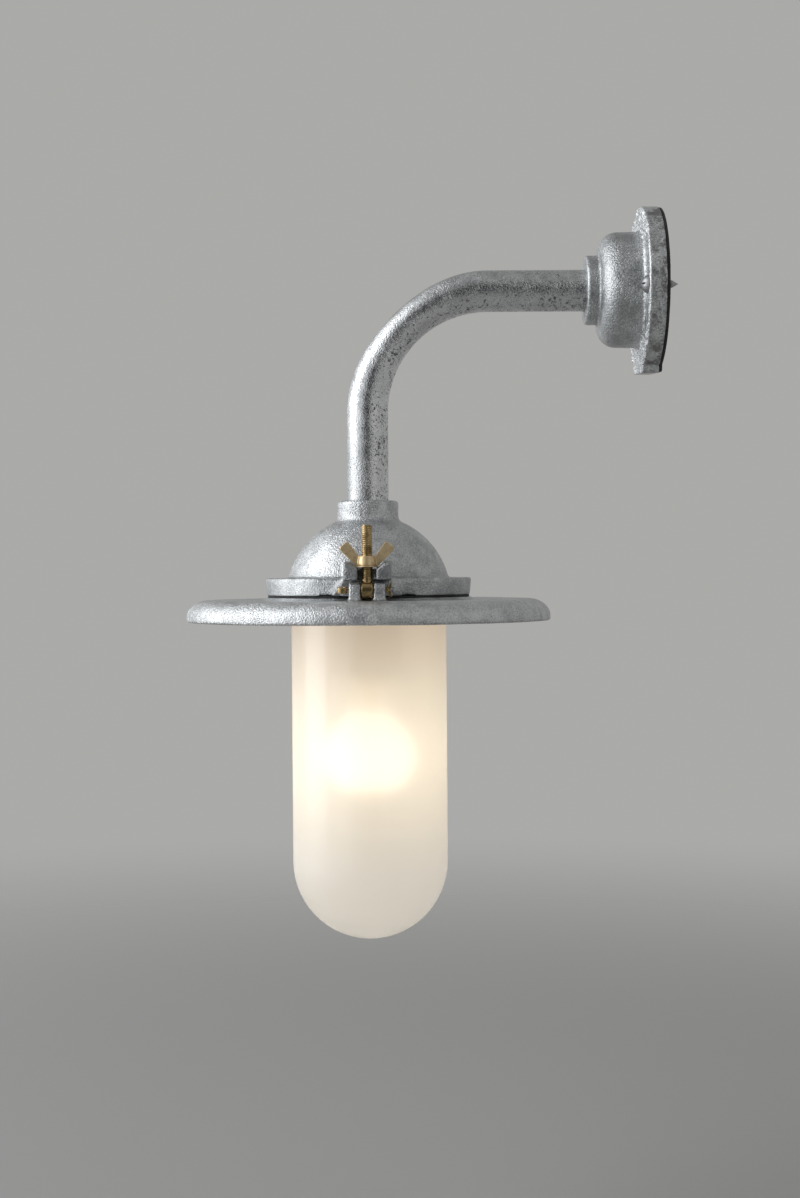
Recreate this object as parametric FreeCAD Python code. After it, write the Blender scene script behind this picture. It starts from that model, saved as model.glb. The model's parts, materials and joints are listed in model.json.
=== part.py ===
import FreeCAD, Part
import math
import os

# Outdoor bracket light: a galvanised casting on the wall carries a bent pipe arm, and the arm carries a
# domed cover with the lamp in it. A wide visor with a long frosted glass hangs below the dome on two
# swing bolts with wing nuts.
#
# The frame: x = 0 is the wall, z = 0 is the axis of the arm where it leaves the wall, and y = 0 is the
# plane of the arm's bend. The lamp stands out along -X and hangs down along -Z.
# All lengths are in millimetres, and names that end in deg are angles.

Vector = FreeCAD.Vector

# General values
overrun = 1.0
running_clearance = 0.05
fitting_clearance = 0.1
same_point = 1e-6
quarter_turn_deg = 90
half_turn_deg = 180
full_turn_deg = 360

# Wall plate: gasket, flange, cup and neck, in order from the wall. The plate is screwed on a little turned.
gasket_thickness = 2.0
gasket_inset = 0.6
gasket_bore_radius = 34.4
flange_radius = 53.4
flange_thickness = 11.3
flange_edge = 1.6
foot_width = 40.0
foot_drop = 54.2
foot_corner = 2.5
cup_radius = 37.6
cup_draft = 0.8
cup_depth = 26.4
cup_corner = 12.0
cup_wall = 4.5
cup_inner_corner = 5.0
cup_root_fillet = 2.0
neck_radius = 22.35
neck_length = 8.8
neck_edge = 2.0
neck_fillet = 1.6
plate_turn_deg = 4.2

# Wall screws, on a circle about the arm's axis
wall_screw_count = 2
wall_screw_circle_radius = 45.6
wall_screw_slots_deg = (0, 65)
wall_screw_shank_radius = 2.4
wall_screw_hole_radius = 3.6
wall_screw_length = 19.0
wall_screw_point = 4.0
wall_screw_head_radius = 5.95
wall_screw_head_height = 4.3
wall_screw_slot_width = 1.4
wall_screw_slot_depth = 2.1

# Terminal block and earth screw in the cup
block_width = 24.0
block_height = 10.0
block_depth = 15.0
block_lift = 14.8
block_edge = 1.0
terminal_count = 3
terminal_pitch = 7.4
terminal_radius = 2.3
terminal_hole_radius = 1.7
terminal_screw_radius = 1.6
terminal_screw_height = 1.4
terminal_screw_slot = 0.6
earth_boss_radius = 5.5
earth_boss_height = 5.0
earth_drop = 24.0
earth_screw_radius = 2.0
earth_screw_length = 9.0
earth_head_radius = 4.0
earth_head_height = 2.8
earth_slot_width = 1.0
earth_slot_depth = 1.4

# Arm: a pipe with one bend, flattened a little on the bend's outer side
arm_radius = 13.45
arm_wall = 2.9
arm_reach = 190.3
arm_bend_radius = 78.8
arm_bend_pull = 3.7
arm_bend_swell = 0.5
arm_bend_sections = 13
arm_inset = 5.7

# Core leads from the terminal block to the lampholder
lead_radius = 1.35
lead_spacing = 3.1
lead_terminal_bend = 9.0

# Dome: collar, dome and flange
collar_drop = 136.1
collar_radius = 19.8
collar_edge = 2.0
collar_flare = 4.0
dome_height = 61.3
dome_radius = 53.8
dome_centre_drop = 1.6
dome_wall = 4.5
dome_rim_radius = 67.0
dome_rim_draft = 1.0
dome_rim_height = 11.2
dome_rim_edge = 1.0
dome_rim_fillet = 2.0
arm_in_dome = 15.5
bridge_boss_radius = 6.0

# Seal between dome and visor
seal_thickness = 1.2
seal_inset = 0.7
seal_width = 7.6

# Closing lugs on the dome, one pair at the front and one at the back
eye_clearance = 1.6
pin_above_visor = 6.7
lug_width = 29.4
lug_slot = 11.3
lug_reach = 5.5
lug_slot_behind = 6.5
lug_slot_corner = 3.0
lug_bottom = 6.3
lug_seat = 14.0
lug_top = 17.3
lug_seat_width = 13.4
lug_crest_gap = 21.4
lug_edge = 1.4
pad_top_width = 32.0
pad_bottom_width = 46.0
pad_stand = 0.4

# Visor: seat for the seal, brim, lip and the pocket for the glass
seat_height = 1.6
seat_overhang = 0.3
seat_edge = 0.6
visor_radius = 118.3
visor_wall = 4.0
visor_height = 14.2
brim_bevel_width = 7.8
brim_bevel_drop = 6.8
brim_upper_round = 15.0
brim_lower_round = 9.0
brim_inner_round = 7.0
lip_thickness = 3.2
lip_edge = 1.0
hub_radius = 66.8
hub_height = 12.7
hub_fillet = 4.0
ledge_thickness = 3.0
ear_width = 22.4
ear_slot = 7.9
ear_radius = 5.5
ear_edge = 1.2
ear_foot_fillet = 1.8
ear_foot_spread = 4.0
ear_slot_corner = 1.6

# Glass, its seals and the ring that holds it
glass_radius = 50.5
glass_wall = 3.5
glass_drop = 421.5
glass_rim_radius = 55.0
glass_rim_thickness = 3.5
glass_rim_edge = 1.0
glass_clearance = 1.5
glass_seal_thickness = 1.0
glass_seal_clearance = 0.2
ring_radius = 63.0
ring_bore_radius = 47.5
ring_thickness = 2.5
ring_screw_count = 3
ring_screw_circle_radius = 59.9
ring_screw_first_deg = 30
ring_screw_radius = 1.7
ring_screw_length = 8.0
ring_screw_head_radius = 2.9
ring_screw_head_height = 1.9
ring_screw_slot_width = 0.8
ring_screw_slot_depth = 1.0

# Swing bolts with washers, wing nuts and split pins
bolt_radius = 3.175
bolt_length = 39.8
bolt_tip_chamfer = 0.6
eye_radius = 5.6
eye_thickness = 6.6
bolt_root_radius = 3.3
bolt_root_height = 5.0
bolt_root_taper = 3.0
washer_radius = 6.6
washer_thickness = 0.8
nut_hub_radius = 5.9
nut_hub_top_radius = 5.1
nut_hub_height = 6.1
nut_hub_edge = 0.5
wing_thickness = 2.4
wing_half_span = 17.3
wing_height = 15.6
wing_tip_drop = 5.0
wing_width = 5.4
wing_heel = 6.6
wing_elbow_in = 5.45
wing_elbow_up = 4.9
wing_crotch_out = 5.6
wing_crotch_up = 6.7
wing_root = 4.2
wing_tip_round = 1.8
wing_back_round = 4.0
pin_radius = 1.9
pin_loop_reach = 7.3
pin_loop_radius = 3.3
pin_loop_bore = 1.5
pin_loop_height = 3.4
pin_loop_tilt_deg = 10
pin_split = 0.25
pin_leg_width = 3.2
pin_leg_thickness = 1.6
pin_leg_reach = 3.4
pin_leg_spread = 4.25
pin_leg_splay = 0.8

# Lamp bridge across the dome
bridge_drop = 53.9
bridge_thickness = 2.0
bridge_width = 18.0
bridge_half_span = 33.0
bridge_end = 7.0
bridge_screw_radius = 2.0
bridge_screw_length = 11.0
bridge_head_radius = 3.7
bridge_head_height = 2.6
bridge_slot_width = 1.0
bridge_slot_depth = 1.2

# Lampholder
nipple_radius = 5.0
nipple_bore_radius = 3.5
nipple_above = 6.5
nipple_below = 13.0
nut_across_flats = 15.0
nut_sides = 6
nut_height = 4.0
holder_neck_radius = 14.0
holder_neck_height = 7.0
holder_shoulder_height = 11.0
holder_radius = 23.0
holder_height = 59.0
holder_edge = 1.6
holder_shoulder_round = 6.0
holder_bore_radius = 15.0
holder_bore_depth = 27.5
holder_lead_radius = 3.4
shell_radius = 13.9
shell_wall = 0.4
shell_depth = 26.0
contact_width = 5.0
contact_thickness = 0.6
contact_reach = 8.0
contact_drop = 3.8

# Lamp
lamp_radius = 30.0
lamp_length = 104.7
lamp_wall = 0.8
lamp_neck_radius = 12.2
lamp_shoulder = 34.0
cap_radius = 13.2
cap_wall = 0.4
cap_skirt = 23.0
cap_taper = 3.0
insulator_radius = 9.0
contact_tip_radius = 5.0
contact_tip_height = 0.9

# Places worked out from the sizes above
flange_face = gasket_thickness + flange_thickness
cup_face = flange_face + cup_depth
neck_face = cup_face + neck_length
cup_floor = cup_face - cup_wall
arm_seat_radius = arm_radius + running_clearance
arm_start = neck_face - neck_length - arm_inset
dome_seat = -collar_drop - dome_height
dome_centre = dome_seat - dome_centre_drop
seat_radius = dome_rim_radius + seat_overhang
bolt_circle_radius = seat_radius + eye_clearance + eye_radius
dome_rim_top = dome_seat + dome_rim_height
visor_seat = dome_seat - seal_thickness
visor_top = visor_seat - seat_height
visor_bottom = visor_top - visor_height
hub_bottom = visor_top - hub_height
ledge_top = hub_bottom + ledge_thickness
glass_rim_bottom = ledge_top + glass_seal_thickness
glass_top = glass_rim_bottom + glass_rim_thickness
ring_bottom = glass_top + glass_seal_thickness
ring_top = ring_bottom + ring_thickness
pin_level = visor_top + pin_above_visor
bridge_top = -collar_drop - bridge_drop
bridge_bottom = bridge_top - bridge_thickness
holder_bottom = bridge_bottom - holder_height
lamp_top = holder_bottom + holder_bore_depth - contact_drop
cap_top = lamp_top - contact_tip_height
cap_skirt_top = cap_top - cap_taper
cap_skirt_bottom = cap_skirt_top - cap_skirt
lamp_tip = lamp_top - lamp_length


def point(x, y):
    """A point in the plane that outlines are drawn in."""
    return Vector(x, y, 0)


def rounded_wire(corners):
    """A closed outline through corners of (x, y, rounding), with a tangent arc at each rounded corner."""
    places = [point(x, y) for x, y, rounding in corners]
    stretches = []
    for index, (x, y, rounding) in enumerate(corners):
        here = places[index]
        back = (places[index - 1] - here).normalize()
        ahead = (places[(index + 1) % len(places)] - here).normalize()
        if rounding == 0:
            stretches.append((here, None, here))
            continue
        half = back.getAngle(ahead) / 2
        reach = rounding / math.tan(half)
        depth = rounding / math.sin(half) - rounding
        middle = here + (back + ahead).normalize() * depth
        stretches.append((here + back * reach, middle, here + ahead * reach))
    edges = []
    for index, (start, middle, end) in enumerate(stretches):
        if middle is not None:
            edges.append(Part.Arc(start, middle, end).toShape())
        onward = stretches[(index + 1) % len(stretches)][0]
        if end.distanceToPoint(onward) > same_point:
            edges.append(Part.LineSegment(end, onward).toShape())
    return Part.Wire(edges)


def solid_from(shape):
    """The shape as one solid with its faces turned outwards."""
    solid = shape.Solids[0] if shape.Solids else Part.Solid(shape)
    if solid.Volume < 0:
        solid.reverse()
    return solid


def moved(shape, x=0, y=0, z=0):
    """The shape moved by these distances."""
    shape.translate(Vector(x, y, z))
    return shape


def turned(corners):
    """A solid turned about Z, from corners of (radius, height, rounding)."""
    spun = Part.Face(rounded_wire(corners)).revolve(Vector(0, 0, 0), Vector(0, 1, 0), full_turn_deg)
    spun.rotate(Vector(0, 0, 0), Vector(1, 0, 0), quarter_turn_deg)
    return solid_from(spun)


def turned_from_wall(corners):
    """A solid turned about the arm's axis, from corners of (distance from the wall, radius, rounding)."""
    outline = rounded_wire([(-distance, radius, rounding) for distance, radius, rounding in corners])
    return solid_from(Part.Face(outline).revolve(Vector(0, 0, 0), Vector(1, 0, 0), full_turn_deg))


def prism_along_x(corners, start, end):
    """A prism from x = start to x = end, from corners of (y, z, rounding)."""
    face = Part.Face(rounded_wire(corners))
    face.rotate(Vector(0, 0, 0), Vector(1, 1, 1), full_turn_deg / 3)
    return solid_from(moved(face, x=start).extrude(Vector(end - start, 0, 0)))


def prism_along_y(corners, start, end):
    """A prism from y = start to y = end, from corners of (x, z, rounding)."""
    face = Part.Face(rounded_wire(corners))
    face.rotate(Vector(0, 0, 0), Vector(1, 0, 0), quarter_turn_deg)
    return solid_from(moved(face, y=start).extrude(Vector(0, end - start, 0)))


def prism_along_z(corners, start, end):
    """A prism from z = start to z = end, from corners of (x, y, rounding)."""
    face = Part.Face(rounded_wire(corners))
    return solid_from(moved(face, z=start).extrude(Vector(0, 0, end - start)))


def rod(radius, start, end):
    """A cylinder from one point to another."""
    along = end - start
    return Part.makeCylinder(radius, along.Length, start, along)


def mirrored_outline(corners):
    """The corners of one half of an outline, then the same in reverse on the other side of the first axis."""
    return corners + [(-first, second, rounding) for first, second, rounding in reversed(corners)]


def domed_head(radius, height, slot_width, slot_depth):
    """A slotted round head on the plane z = 0, rising along Z, with its slot along X."""
    ball_radius = (radius ** 2 + height ** 2) / (2 * height)
    ball = moved(Part.makeSphere(ball_radius), z=height - ball_radius)
    head = ball.common(Part.makeCylinder(radius, height + overrun))
    slot = Part.makeBox(2 * radius + 2 * overrun, slot_width, slot_depth + overrun)
    head = head.cut(moved(slot, -radius - overrun, -slot_width / 2, height - slot_depth))
    return head


def slotted_screw(head_radius, head_height, slot_width, slot_depth, shank_radius, length):
    """A slotted screw with its head above z = 0 and its shank below."""
    head = domed_head(head_radius, head_height, slot_width, slot_depth)
    return solid_from(head.fuse(rod(shank_radius, Vector(0, 0, -length), Vector(0, 0, 0))).removeSplitter())


def around(count, first_deg):
    """The angles of a pattern of evenly spaced places on a circle, in radians."""
    return [math.radians(first_deg + full_turn_deg * index / count) for index in range(count)]


def on_lamp_axis(shape):
    """The shape moved from the origin's axis to the axis that the lamp hangs on."""
    return moved(shape, x=-arm_reach)


def at_side(shape, turn_deg):
    """A copy of a shape of the front closing, turned about the lamp's axis to its own side."""
    placed = shape.copy()
    placed.rotate(Vector(-arm_reach, 0, 0), Vector(0, 0, 1), turn_deg)
    return placed


def plate_foot(inset, start, end):
    """The flat-bottomed foot of the wall flange between two places along X, turned with the plate."""
    half = foot_width / 2 - inset
    outline = [
        (-half, 0, 0),
        (-half, inset - foot_drop, foot_corner),
        (half, inset - foot_drop, foot_corner),
        (half, 0, 0),
    ]
    foot = prism_along_x(outline, start, end)
    foot.rotate(Vector(0, 0, 0), Vector(1, 0, 0), plate_turn_deg)
    return foot


def wall_screw_places():
    """Where the wall screws stand, as (y, z)."""
    angles = around(wall_screw_count, half_turn_deg + plate_turn_deg)
    return [(wall_screw_circle_radius * math.cos(a), wall_screw_circle_radius * math.sin(a)) for a in angles]


def wall_plate():
    """The casting on the wall: a round flange with a foot, a deep cup and the neck that takes the arm."""
    cavity_radius = cup_radius - cup_wall
    body = turned_from_wall(
        [
            (gasket_thickness, cavity_radius, 0),
            (gasket_thickness, flange_radius, 0),
            (flange_face, flange_radius, flange_edge),
            (flange_face, cup_radius, cup_root_fillet),
            (cup_face, cup_radius - cup_draft, cup_corner),
            (cup_face, neck_radius, neck_fillet),
            (neck_face, neck_radius, neck_edge),
            (neck_face, arm_seat_radius, 0),
            (cup_floor, arm_seat_radius, 0),
            (cup_floor, cavity_radius - cup_draft, cup_inner_corner),
        ]
    )
    foot = plate_foot(0, -flange_face, -gasket_thickness)
    foot = foot.cut(rod(cup_radius, Vector(-flange_face - overrun, 0, 0), Vector(0, 0, 0)))
    body = body.fuse(foot)
    boss_root = Vector(-cup_floor - overrun, 0, -earth_drop)
    body = body.fuse(rod(earth_boss_radius, boss_root, Vector(earth_boss_height - cup_floor, 0, -earth_drop)))
    for y, z in wall_screw_places():
        body = body.cut(rod(wall_screw_hole_radius, Vector(-flange_face - overrun, y, z), Vector(0, y, z)))
    tapped = rod(
        earth_screw_radius + fitting_clearance,
        Vector(earth_boss_height - cup_floor - earth_screw_length, 0, -earth_drop),
        Vector(0, 0, -earth_drop),
    )
    return solid_from(body.cut(tapped).removeSplitter())


def wall_gasket():
    """The rubber gasket between flange and wall, a little smaller than the flange."""
    disc = rod(flange_radius - gasket_inset, Vector(-gasket_thickness, 0, 0), Vector(0, 0, 0))
    disc = disc.fuse(plate_foot(gasket_inset, -gasket_thickness, 0))
    disc = disc.cut(rod(gasket_bore_radius, Vector(-gasket_thickness - overrun, 0, 0), Vector(overrun, 0, 0)))
    for y, z in wall_screw_places():
        start = Vector(-gasket_thickness - overrun, y, z)
        disc = disc.cut(rod(wall_screw_hole_radius, start, Vector(overrun, y, z)))
    return solid_from(disc.removeSplitter())


def wall_screws():
    """The two slotted round-head screws that hold the plate on the wall."""
    screws = []
    for (y, z), slot_deg in zip(wall_screw_places(), wall_screw_slots_deg):
        head = domed_head(
            wall_screw_head_radius, wall_screw_head_height, wall_screw_slot_width, wall_screw_slot_depth
        )
        shank = turned(
            [
                (0, 0, 0),
                (wall_screw_shank_radius, 0, 0),
                (wall_screw_shank_radius, wall_screw_point - wall_screw_length, 0),
                (0, -wall_screw_length, 0),
            ]
        )
        screw = solid_from(head.fuse(shank).removeSplitter())
        screw.rotate(Vector(0, 0, 0), Vector(0, 1, 0), -quarter_turn_deg)
        screw.rotate(Vector(0, 0, 0), Vector(1, 0, 0), quarter_turn_deg + slot_deg)
        screws.append(moved(screw, -flange_face, y, z))
    return Part.Compound(screws)


def terminal_places():
    """Where the terminals of the block stand along Y."""
    first = -terminal_pitch * (terminal_count - 1) / 2
    return [first + terminal_pitch * index for index in range(terminal_count)]


def terminal_block():
    """The porcelain terminal block on the floor of the cup, above the arm's mouth."""
    half = block_width / 2
    block = prism_along_x(
        [
            (-half, block_lift, block_edge),
            (half, block_lift, block_edge),
            (half, block_lift + block_height, block_edge),
            (-half, block_lift + block_height, block_edge),
        ],
        -cup_floor,
        block_depth - cup_floor,
    )
    middle = block_depth / 2 - cup_floor
    for y in terminal_places():
        start = Vector(middle, y, block_lift - overrun)
        end = Vector(middle, y, block_lift + block_height + overrun)
        block = block.cut(rod(terminal_radius + fitting_clearance, start, end))
        face = Vector(block_depth - cup_floor + overrun, y, block_lift + block_height / 2)
        block = block.cut(rod(terminal_screw_radius + fitting_clearance, Vector(middle, face.y, face.z), face))
    return solid_from(block)


def terminal_tubes():
    """The brass terminal tubes in the block, each with its cross hole."""
    tubes = []
    middle = block_depth / 2 - cup_floor
    for y in terminal_places():
        tube = rod(terminal_radius, Vector(middle, y, block_lift), Vector(middle, y, block_lift + block_height))
        bottom = Vector(middle, y, block_lift - overrun)
        tube = tube.cut(rod(terminal_hole_radius, bottom, Vector(middle, y, block_lift + block_height + overrun)))
        level = block_lift + block_height / 2
        tube = tube.cut(rod(terminal_screw_radius, Vector(middle, y, level), Vector(0, y, level)))
        tubes.append(solid_from(tube))
    return Part.Compound(tubes)


def terminal_screws():
    """The screws that clamp the cores in the terminals, driven from the wall side."""
    screws = []
    middle = block_depth / 2 - cup_floor
    face = block_depth - cup_floor
    level = block_lift + block_height / 2
    for y in terminal_places():
        screw = rod(
            terminal_screw_radius - running_clearance,
            Vector(middle + terminal_hole_radius / 2, y, level),
            Vector(face + terminal_screw_height, y, level),
        )
        slot = Part.makeBox(terminal_screw_height + overrun, 2 * terminal_radius, terminal_screw_slot)
        screw = screw.cut(moved(slot, face, y - terminal_radius, level - terminal_screw_slot / 2))
        screws.append(solid_from(screw))
    return Part.Compound(screws)


def earth_screw():
    """The brass earth screw in its boss under the arm's mouth."""
    screw = slotted_screw(
        earth_head_radius,
        earth_head_height,
        earth_slot_width,
        earth_slot_depth,
        earth_screw_radius,
        earth_screw_length - overrun,
    )
    screw.rotate(Vector(0, 0, 0), Vector(0, 1, 0), quarter_turn_deg)
    return moved(screw, earth_boss_height - cup_floor, 0, -earth_drop)


def bend_section(turn, inward):
    """One section of the bend: an oval whose outer side is pulled in, more so towards the middle."""
    squeeze = math.sin(turn * full_turn_deg / quarter_turn_deg / 2) ** 2
    outward = Vector(-math.sin(turn), 0, math.cos(turn))
    centre = Vector(arm_bend_radius - arm_reach, 0, -arm_bend_radius)
    half_deep = arm_radius - arm_bend_pull / 2 * squeeze - inward
    half_wide = arm_radius + arm_bend_swell * squeeze - inward
    middle = centre + outward * (arm_bend_radius - arm_bend_pull / 2 * squeeze)
    if half_wide - half_deep < same_point:
        return Part.Wire(Part.Circle(middle, outward.cross(Vector(0, 1, 0)), half_wide).toShape())
    oval = Part.Ellipse(middle + Vector(0, half_wide, 0), middle + outward * half_deep, middle)
    return Part.Wire(oval.toShape())


def arm_solid(inward, extra):
    """The arm's outer form, or its bore when drawn inward by the wall."""
    bend_start = arm_reach - arm_bend_radius
    straight = rod(arm_radius - inward, Vector(extra - arm_start, 0, 0), Vector(-bend_start, 0, 0))
    turns = [math.radians(quarter_turn_deg) * step / (arm_bend_sections - 1) for step in range(arm_bend_sections)]
    bend = Part.makeLoft([bend_section(turn, inward) for turn in turns], True)
    down_end = -collar_drop - arm_in_dome - extra
    down = rod(arm_radius - inward, Vector(-arm_reach, 0, -arm_bend_radius), Vector(-arm_reach, 0, down_end))
    return straight, solid_from(bend), down


def bracket_arm():
    """The bent pipe that carries the lamp head and its leads."""
    outer = arm_solid(0, 0)
    inner = arm_solid(arm_wall, overrun)
    pieces = [whole.cut(hollow) for whole, hollow in zip(outer, inner)]
    return solid_from(pieces[0].fuse(pieces[1:]))


def core_leads():
    """The two insulated cores that run in the arm from the terminal block to the lampholder."""
    leads = []
    entry = block_depth / 2 - cup_floor
    bend_start = arm_bend_radius - arm_reach
    diagonal = math.sqrt(1 / 2)
    for side in (-1, 1):
        y = side * lead_spacing / 2
        small = lead_terminal_bend
        large = arm_bend_radius
        top = Vector(entry, y, block_lift)
        turn_in = Vector(entry, y, small)
        turn_middle = Vector(entry - small + small * diagonal, y, small - small * diagonal)
        turn_out = Vector(entry - small, y, 0)
        bend_in = Vector(bend_start, y, 0)
        bend_middle = Vector(bend_start - large * diagonal, y, large * diagonal - large)
        bend_out = Vector(-arm_reach, y, -large)
        bottom = Vector(-arm_reach, y, bridge_bottom - nipple_below - contact_reach)
        path = Part.Wire(
            [
                Part.LineSegment(top, turn_in).toShape(),
                Part.Arc(turn_in, turn_middle, turn_out).toShape(),
                Part.LineSegment(turn_out, bend_in).toShape(),
                Part.Arc(bend_in, bend_middle, bend_out).toShape(),
                Part.LineSegment(bend_out, bottom).toShape(),
            ]
        )
        section = Part.Wire(Part.Circle(top, Vector(0, 0, -1), lead_radius).toShape())
        lead = solid_from(path.makePipeShell([section], True, False))
        ratio = lead.Volume / (math.pi * lead_radius ** 2 * path.Length)
        print("lead length", round(path.Length, 1), "least bend radius", small, "volume ratio", round(ratio, 4))
        leads.append(lead)
    return Part.Compound(leads)


def dome_cap(radius, bottom):
    """The part of the dome's ball of this radius that lies above a level."""
    ball = moved(Part.makeSphere(radius), z=dome_centre)
    return ball.common(rod(radius + overrun, Vector(0, 0, bottom), Vector(0, 0, dome_centre + radius + overrun)))


def ring_edges(shape, radius, level, reach):
    """The round edges of a shape of this radius about Z, within this reach of a level."""
    found = []
    for edge in shape.Edges:
        box = edge.BoundBox
        flat = box.ZLength < reach
        if flat and abs(box.XLength / 2 - radius) < reach and abs(box.Center.z - level) < reach:
            found.append(edge)
    return found


def lug_pair():
    """The slotted lug of the front closing. Its outer half is crowned about the pin, so the bolt swings out."""
    half = lug_width / 2
    slot = lug_slot / 2
    front = -bolt_circle_radius - lug_reach
    slot_end = lug_slot_behind - bolt_circle_radius
    plan = prism_along_z(
        mirrored_outline(
            [
                (half, 3 * dome_wall - dome_radius, 0),
                (half, front, lug_edge),
                (slot, front, lug_edge / 2),
                (slot, slot_end, lug_slot_corner),
            ]
        ),
        pin_level + lug_bottom,
        pin_level + lug_top + overrun,
    )
    crest = [
        (half, 0, 0),
        (half, lug_top, lug_edge / 2),
        (lug_crest_gap / 2, lug_top, lug_edge / 2),
        (lug_seat_width / 2, lug_seat, lug_edge / 2),
    ]
    profile = mirrored_outline(crest)
    straight = prism_along_y(profile, -bolt_circle_radius, 0)
    crown = Part.Face(rounded_wire(profile)).revolve(Vector(0, 0, 0), Vector(1, 0, 0), full_turn_deg)
    crown = moved(solid_from(crown), y=-bolt_circle_radius)
    allowed = moved(crown.fuse(straight), z=pin_level)
    return plan.common(allowed)


def closing_pad():
    """The flat on the dome's rim behind the pivot, wider at its foot."""
    pad = mirrored_outline([(pad_top_width / 2, dome_rim_top, 0), (pad_bottom_width / 2, dome_seat, 0)])
    return prism_along_y(pad, -dome_rim_radius - pad_stand, -dome_radius)


def dome_cover():
    """The cast cover: collar for the arm, dome, flat rim with two slotted lugs, and bosses inside."""
    rim = turned(
        [
            (0, dome_seat, 0),
            (dome_rim_radius - dome_rim_draft, dome_seat, dome_rim_edge / 2),
            (dome_rim_radius, dome_rim_top, dome_rim_edge),
            (0, dome_rim_top, 0),
        ]
    )
    collar = turned(
        [
            (0, dome_seat, 0),
            (collar_radius, dome_seat, 0),
            (collar_radius, -collar_drop, collar_edge),
            (0, -collar_drop, 0),
        ]
    )
    body = dome_cap(dome_radius, dome_seat).fuse([collar, rim]).removeSplitter()
    collar_foot = dome_centre + math.sqrt(dome_radius ** 2 - collar_radius ** 2)
    rim_root = math.sqrt(dome_radius ** 2 - (dome_rim_top - dome_centre) ** 2)
    body = body.makeFillet(collar_flare, ring_edges(body, collar_radius, collar_foot, collar_edge))
    body = body.makeFillet(dome_rim_fillet, ring_edges(body, rim_root, dome_rim_top, dome_rim_edge))
    lug = lug_pair()
    pad = closing_pad()
    for turn_deg in (0, half_turn_deg):
        for piece in (pad.copy(), lug.copy()):
            piece.rotate(Vector(0, 0, 0), Vector(0, 0, 1), turn_deg)
            body = body.fuse(piece)
    hollow = dome_cap(dome_radius - dome_wall, dome_seat - overrun)
    for side in (-1, 1):
        x = side * bridge_half_span
        boss = rod(bridge_boss_radius, Vector(x, 0, bridge_top), Vector(x, 0, dome_centre + dome_radius))
        hollow = hollow.cut(boss)
    body = body.cut(hollow)
    body = body.cut(rod(arm_seat_radius, Vector(0, 0, dome_centre), Vector(0, 0, overrun - collar_drop)))
    for side in (-1, 1):
        x = side * bridge_half_span
        top = Vector(x, 0, bridge_bottom + bridge_screw_length + overrun)
        body = body.cut(rod(bridge_screw_radius + running_clearance, Vector(x, 0, bridge_bottom), top))
    return on_lamp_axis(solid_from(body.removeSplitter()))


def dome_seal():
    """The flat rubber seal under the dome's rim, which the visor's seat closes on."""
    radius = dome_rim_radius - dome_rim_draft - seal_inset / 2
    ring = turned(
        [
            (radius - seal_width, visor_seat, 0),
            (radius, visor_seat, 0),
            (radius, dome_seat, 0),
            (radius - seal_width, dome_seat, 0),
        ]
    )
    return on_lamp_axis(ring)


def ear_pair():
    """The two ears on the brim that hold the front pivot pin, with filleted feet and a slot between."""
    half = ear_width / 2
    slot = ear_slot / 2
    spread = half + ear_foot_spread
    top = pin_level + ear_radius
    root = visor_top - visor_wall / 2
    front = prism_along_y(
        mirrored_outline(
            [
                (spread, root, 0),
                (spread, visor_top, 0),
                (half, visor_top, ear_foot_fillet),
                (half, top, ear_edge),
                (slot, top, ear_edge / 2),
                (slot, visor_top, ear_slot_corner),
            ]
        ),
        -bolt_circle_radius - ear_radius - ear_foot_spread,
        ear_radius + ear_foot_spread - bolt_circle_radius,
    )
    reach = ear_radius + ear_foot_spread
    sides = [(reach, root, 0), (reach, visor_top, 0), (ear_radius, visor_top, ear_foot_fillet)]
    side = prism_along_x(
        mirrored_outline(sides + [(ear_radius, top, ear_radius)]),
        -spread,
        spread,
    )
    ears = front.common(moved(side, y=-bolt_circle_radius))
    far = half + overrun
    pivot = rod(
        pin_radius + running_clearance,
        Vector(-far, -bolt_circle_radius, pin_level),
        Vector(far, -bolt_circle_radius, pin_level),
    )
    return ears, pivot


def visor():
    """The cast visor: seat, flat brim, rounded lip, a hub with the glass pocket, and two pairs of ears."""
    bevel_radius = visor_radius - brim_bevel_width
    bevel_bottom = visor_top - brim_bevel_drop
    underside = visor_top - visor_wall
    inner_lip = visor_radius - lip_thickness
    body = turned(
        [
            (glass_radius + glass_clearance, ledge_top, seat_edge),
            (glass_rim_radius + glass_clearance, ledge_top, 0),
            (glass_rim_radius + glass_clearance, ring_bottom, 0),
            (ring_radius + fitting_clearance, ring_bottom, 0),
            (ring_radius + fitting_clearance, visor_seat, 0),
            (seat_radius, visor_seat, seat_edge),
            (seat_radius, visor_top, seat_edge),
            (bevel_radius, visor_top, brim_upper_round),
            (visor_radius, bevel_bottom, brim_lower_round),
            (visor_radius, visor_bottom, lip_edge),
            (inner_lip, visor_bottom, lip_edge),
            (inner_lip, bevel_bottom - lip_edge, brim_inner_round),
            (bevel_radius - lip_edge, underside, brim_inner_round),
            (hub_radius, underside, hub_fillet),
            (hub_radius, hub_bottom, lip_edge),
            (glass_radius + glass_clearance, hub_bottom, seat_edge),
        ]
    )
    ears, pivot = ear_pair()
    for turn_deg in (0, half_turn_deg):
        pair = ears.copy()
        pair.rotate(Vector(0, 0, 0), Vector(0, 0, 1), turn_deg)
        hole = pivot.copy()
        hole.rotate(Vector(0, 0, 0), Vector(0, 0, 1), turn_deg)
        body = body.fuse(pair).cut(hole)
    for angle in around(ring_screw_count, ring_screw_first_deg):
        x = ring_screw_circle_radius * math.cos(angle)
        y = ring_screw_circle_radius * math.sin(angle)
        bottom = Vector(x, y, ring_top - ring_screw_length - overrun)
        body = body.cut(rod(ring_screw_radius + running_clearance, bottom, Vector(x, y, visor_seat)))
    return on_lamp_axis(solid_from(body.removeSplitter()))


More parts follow.
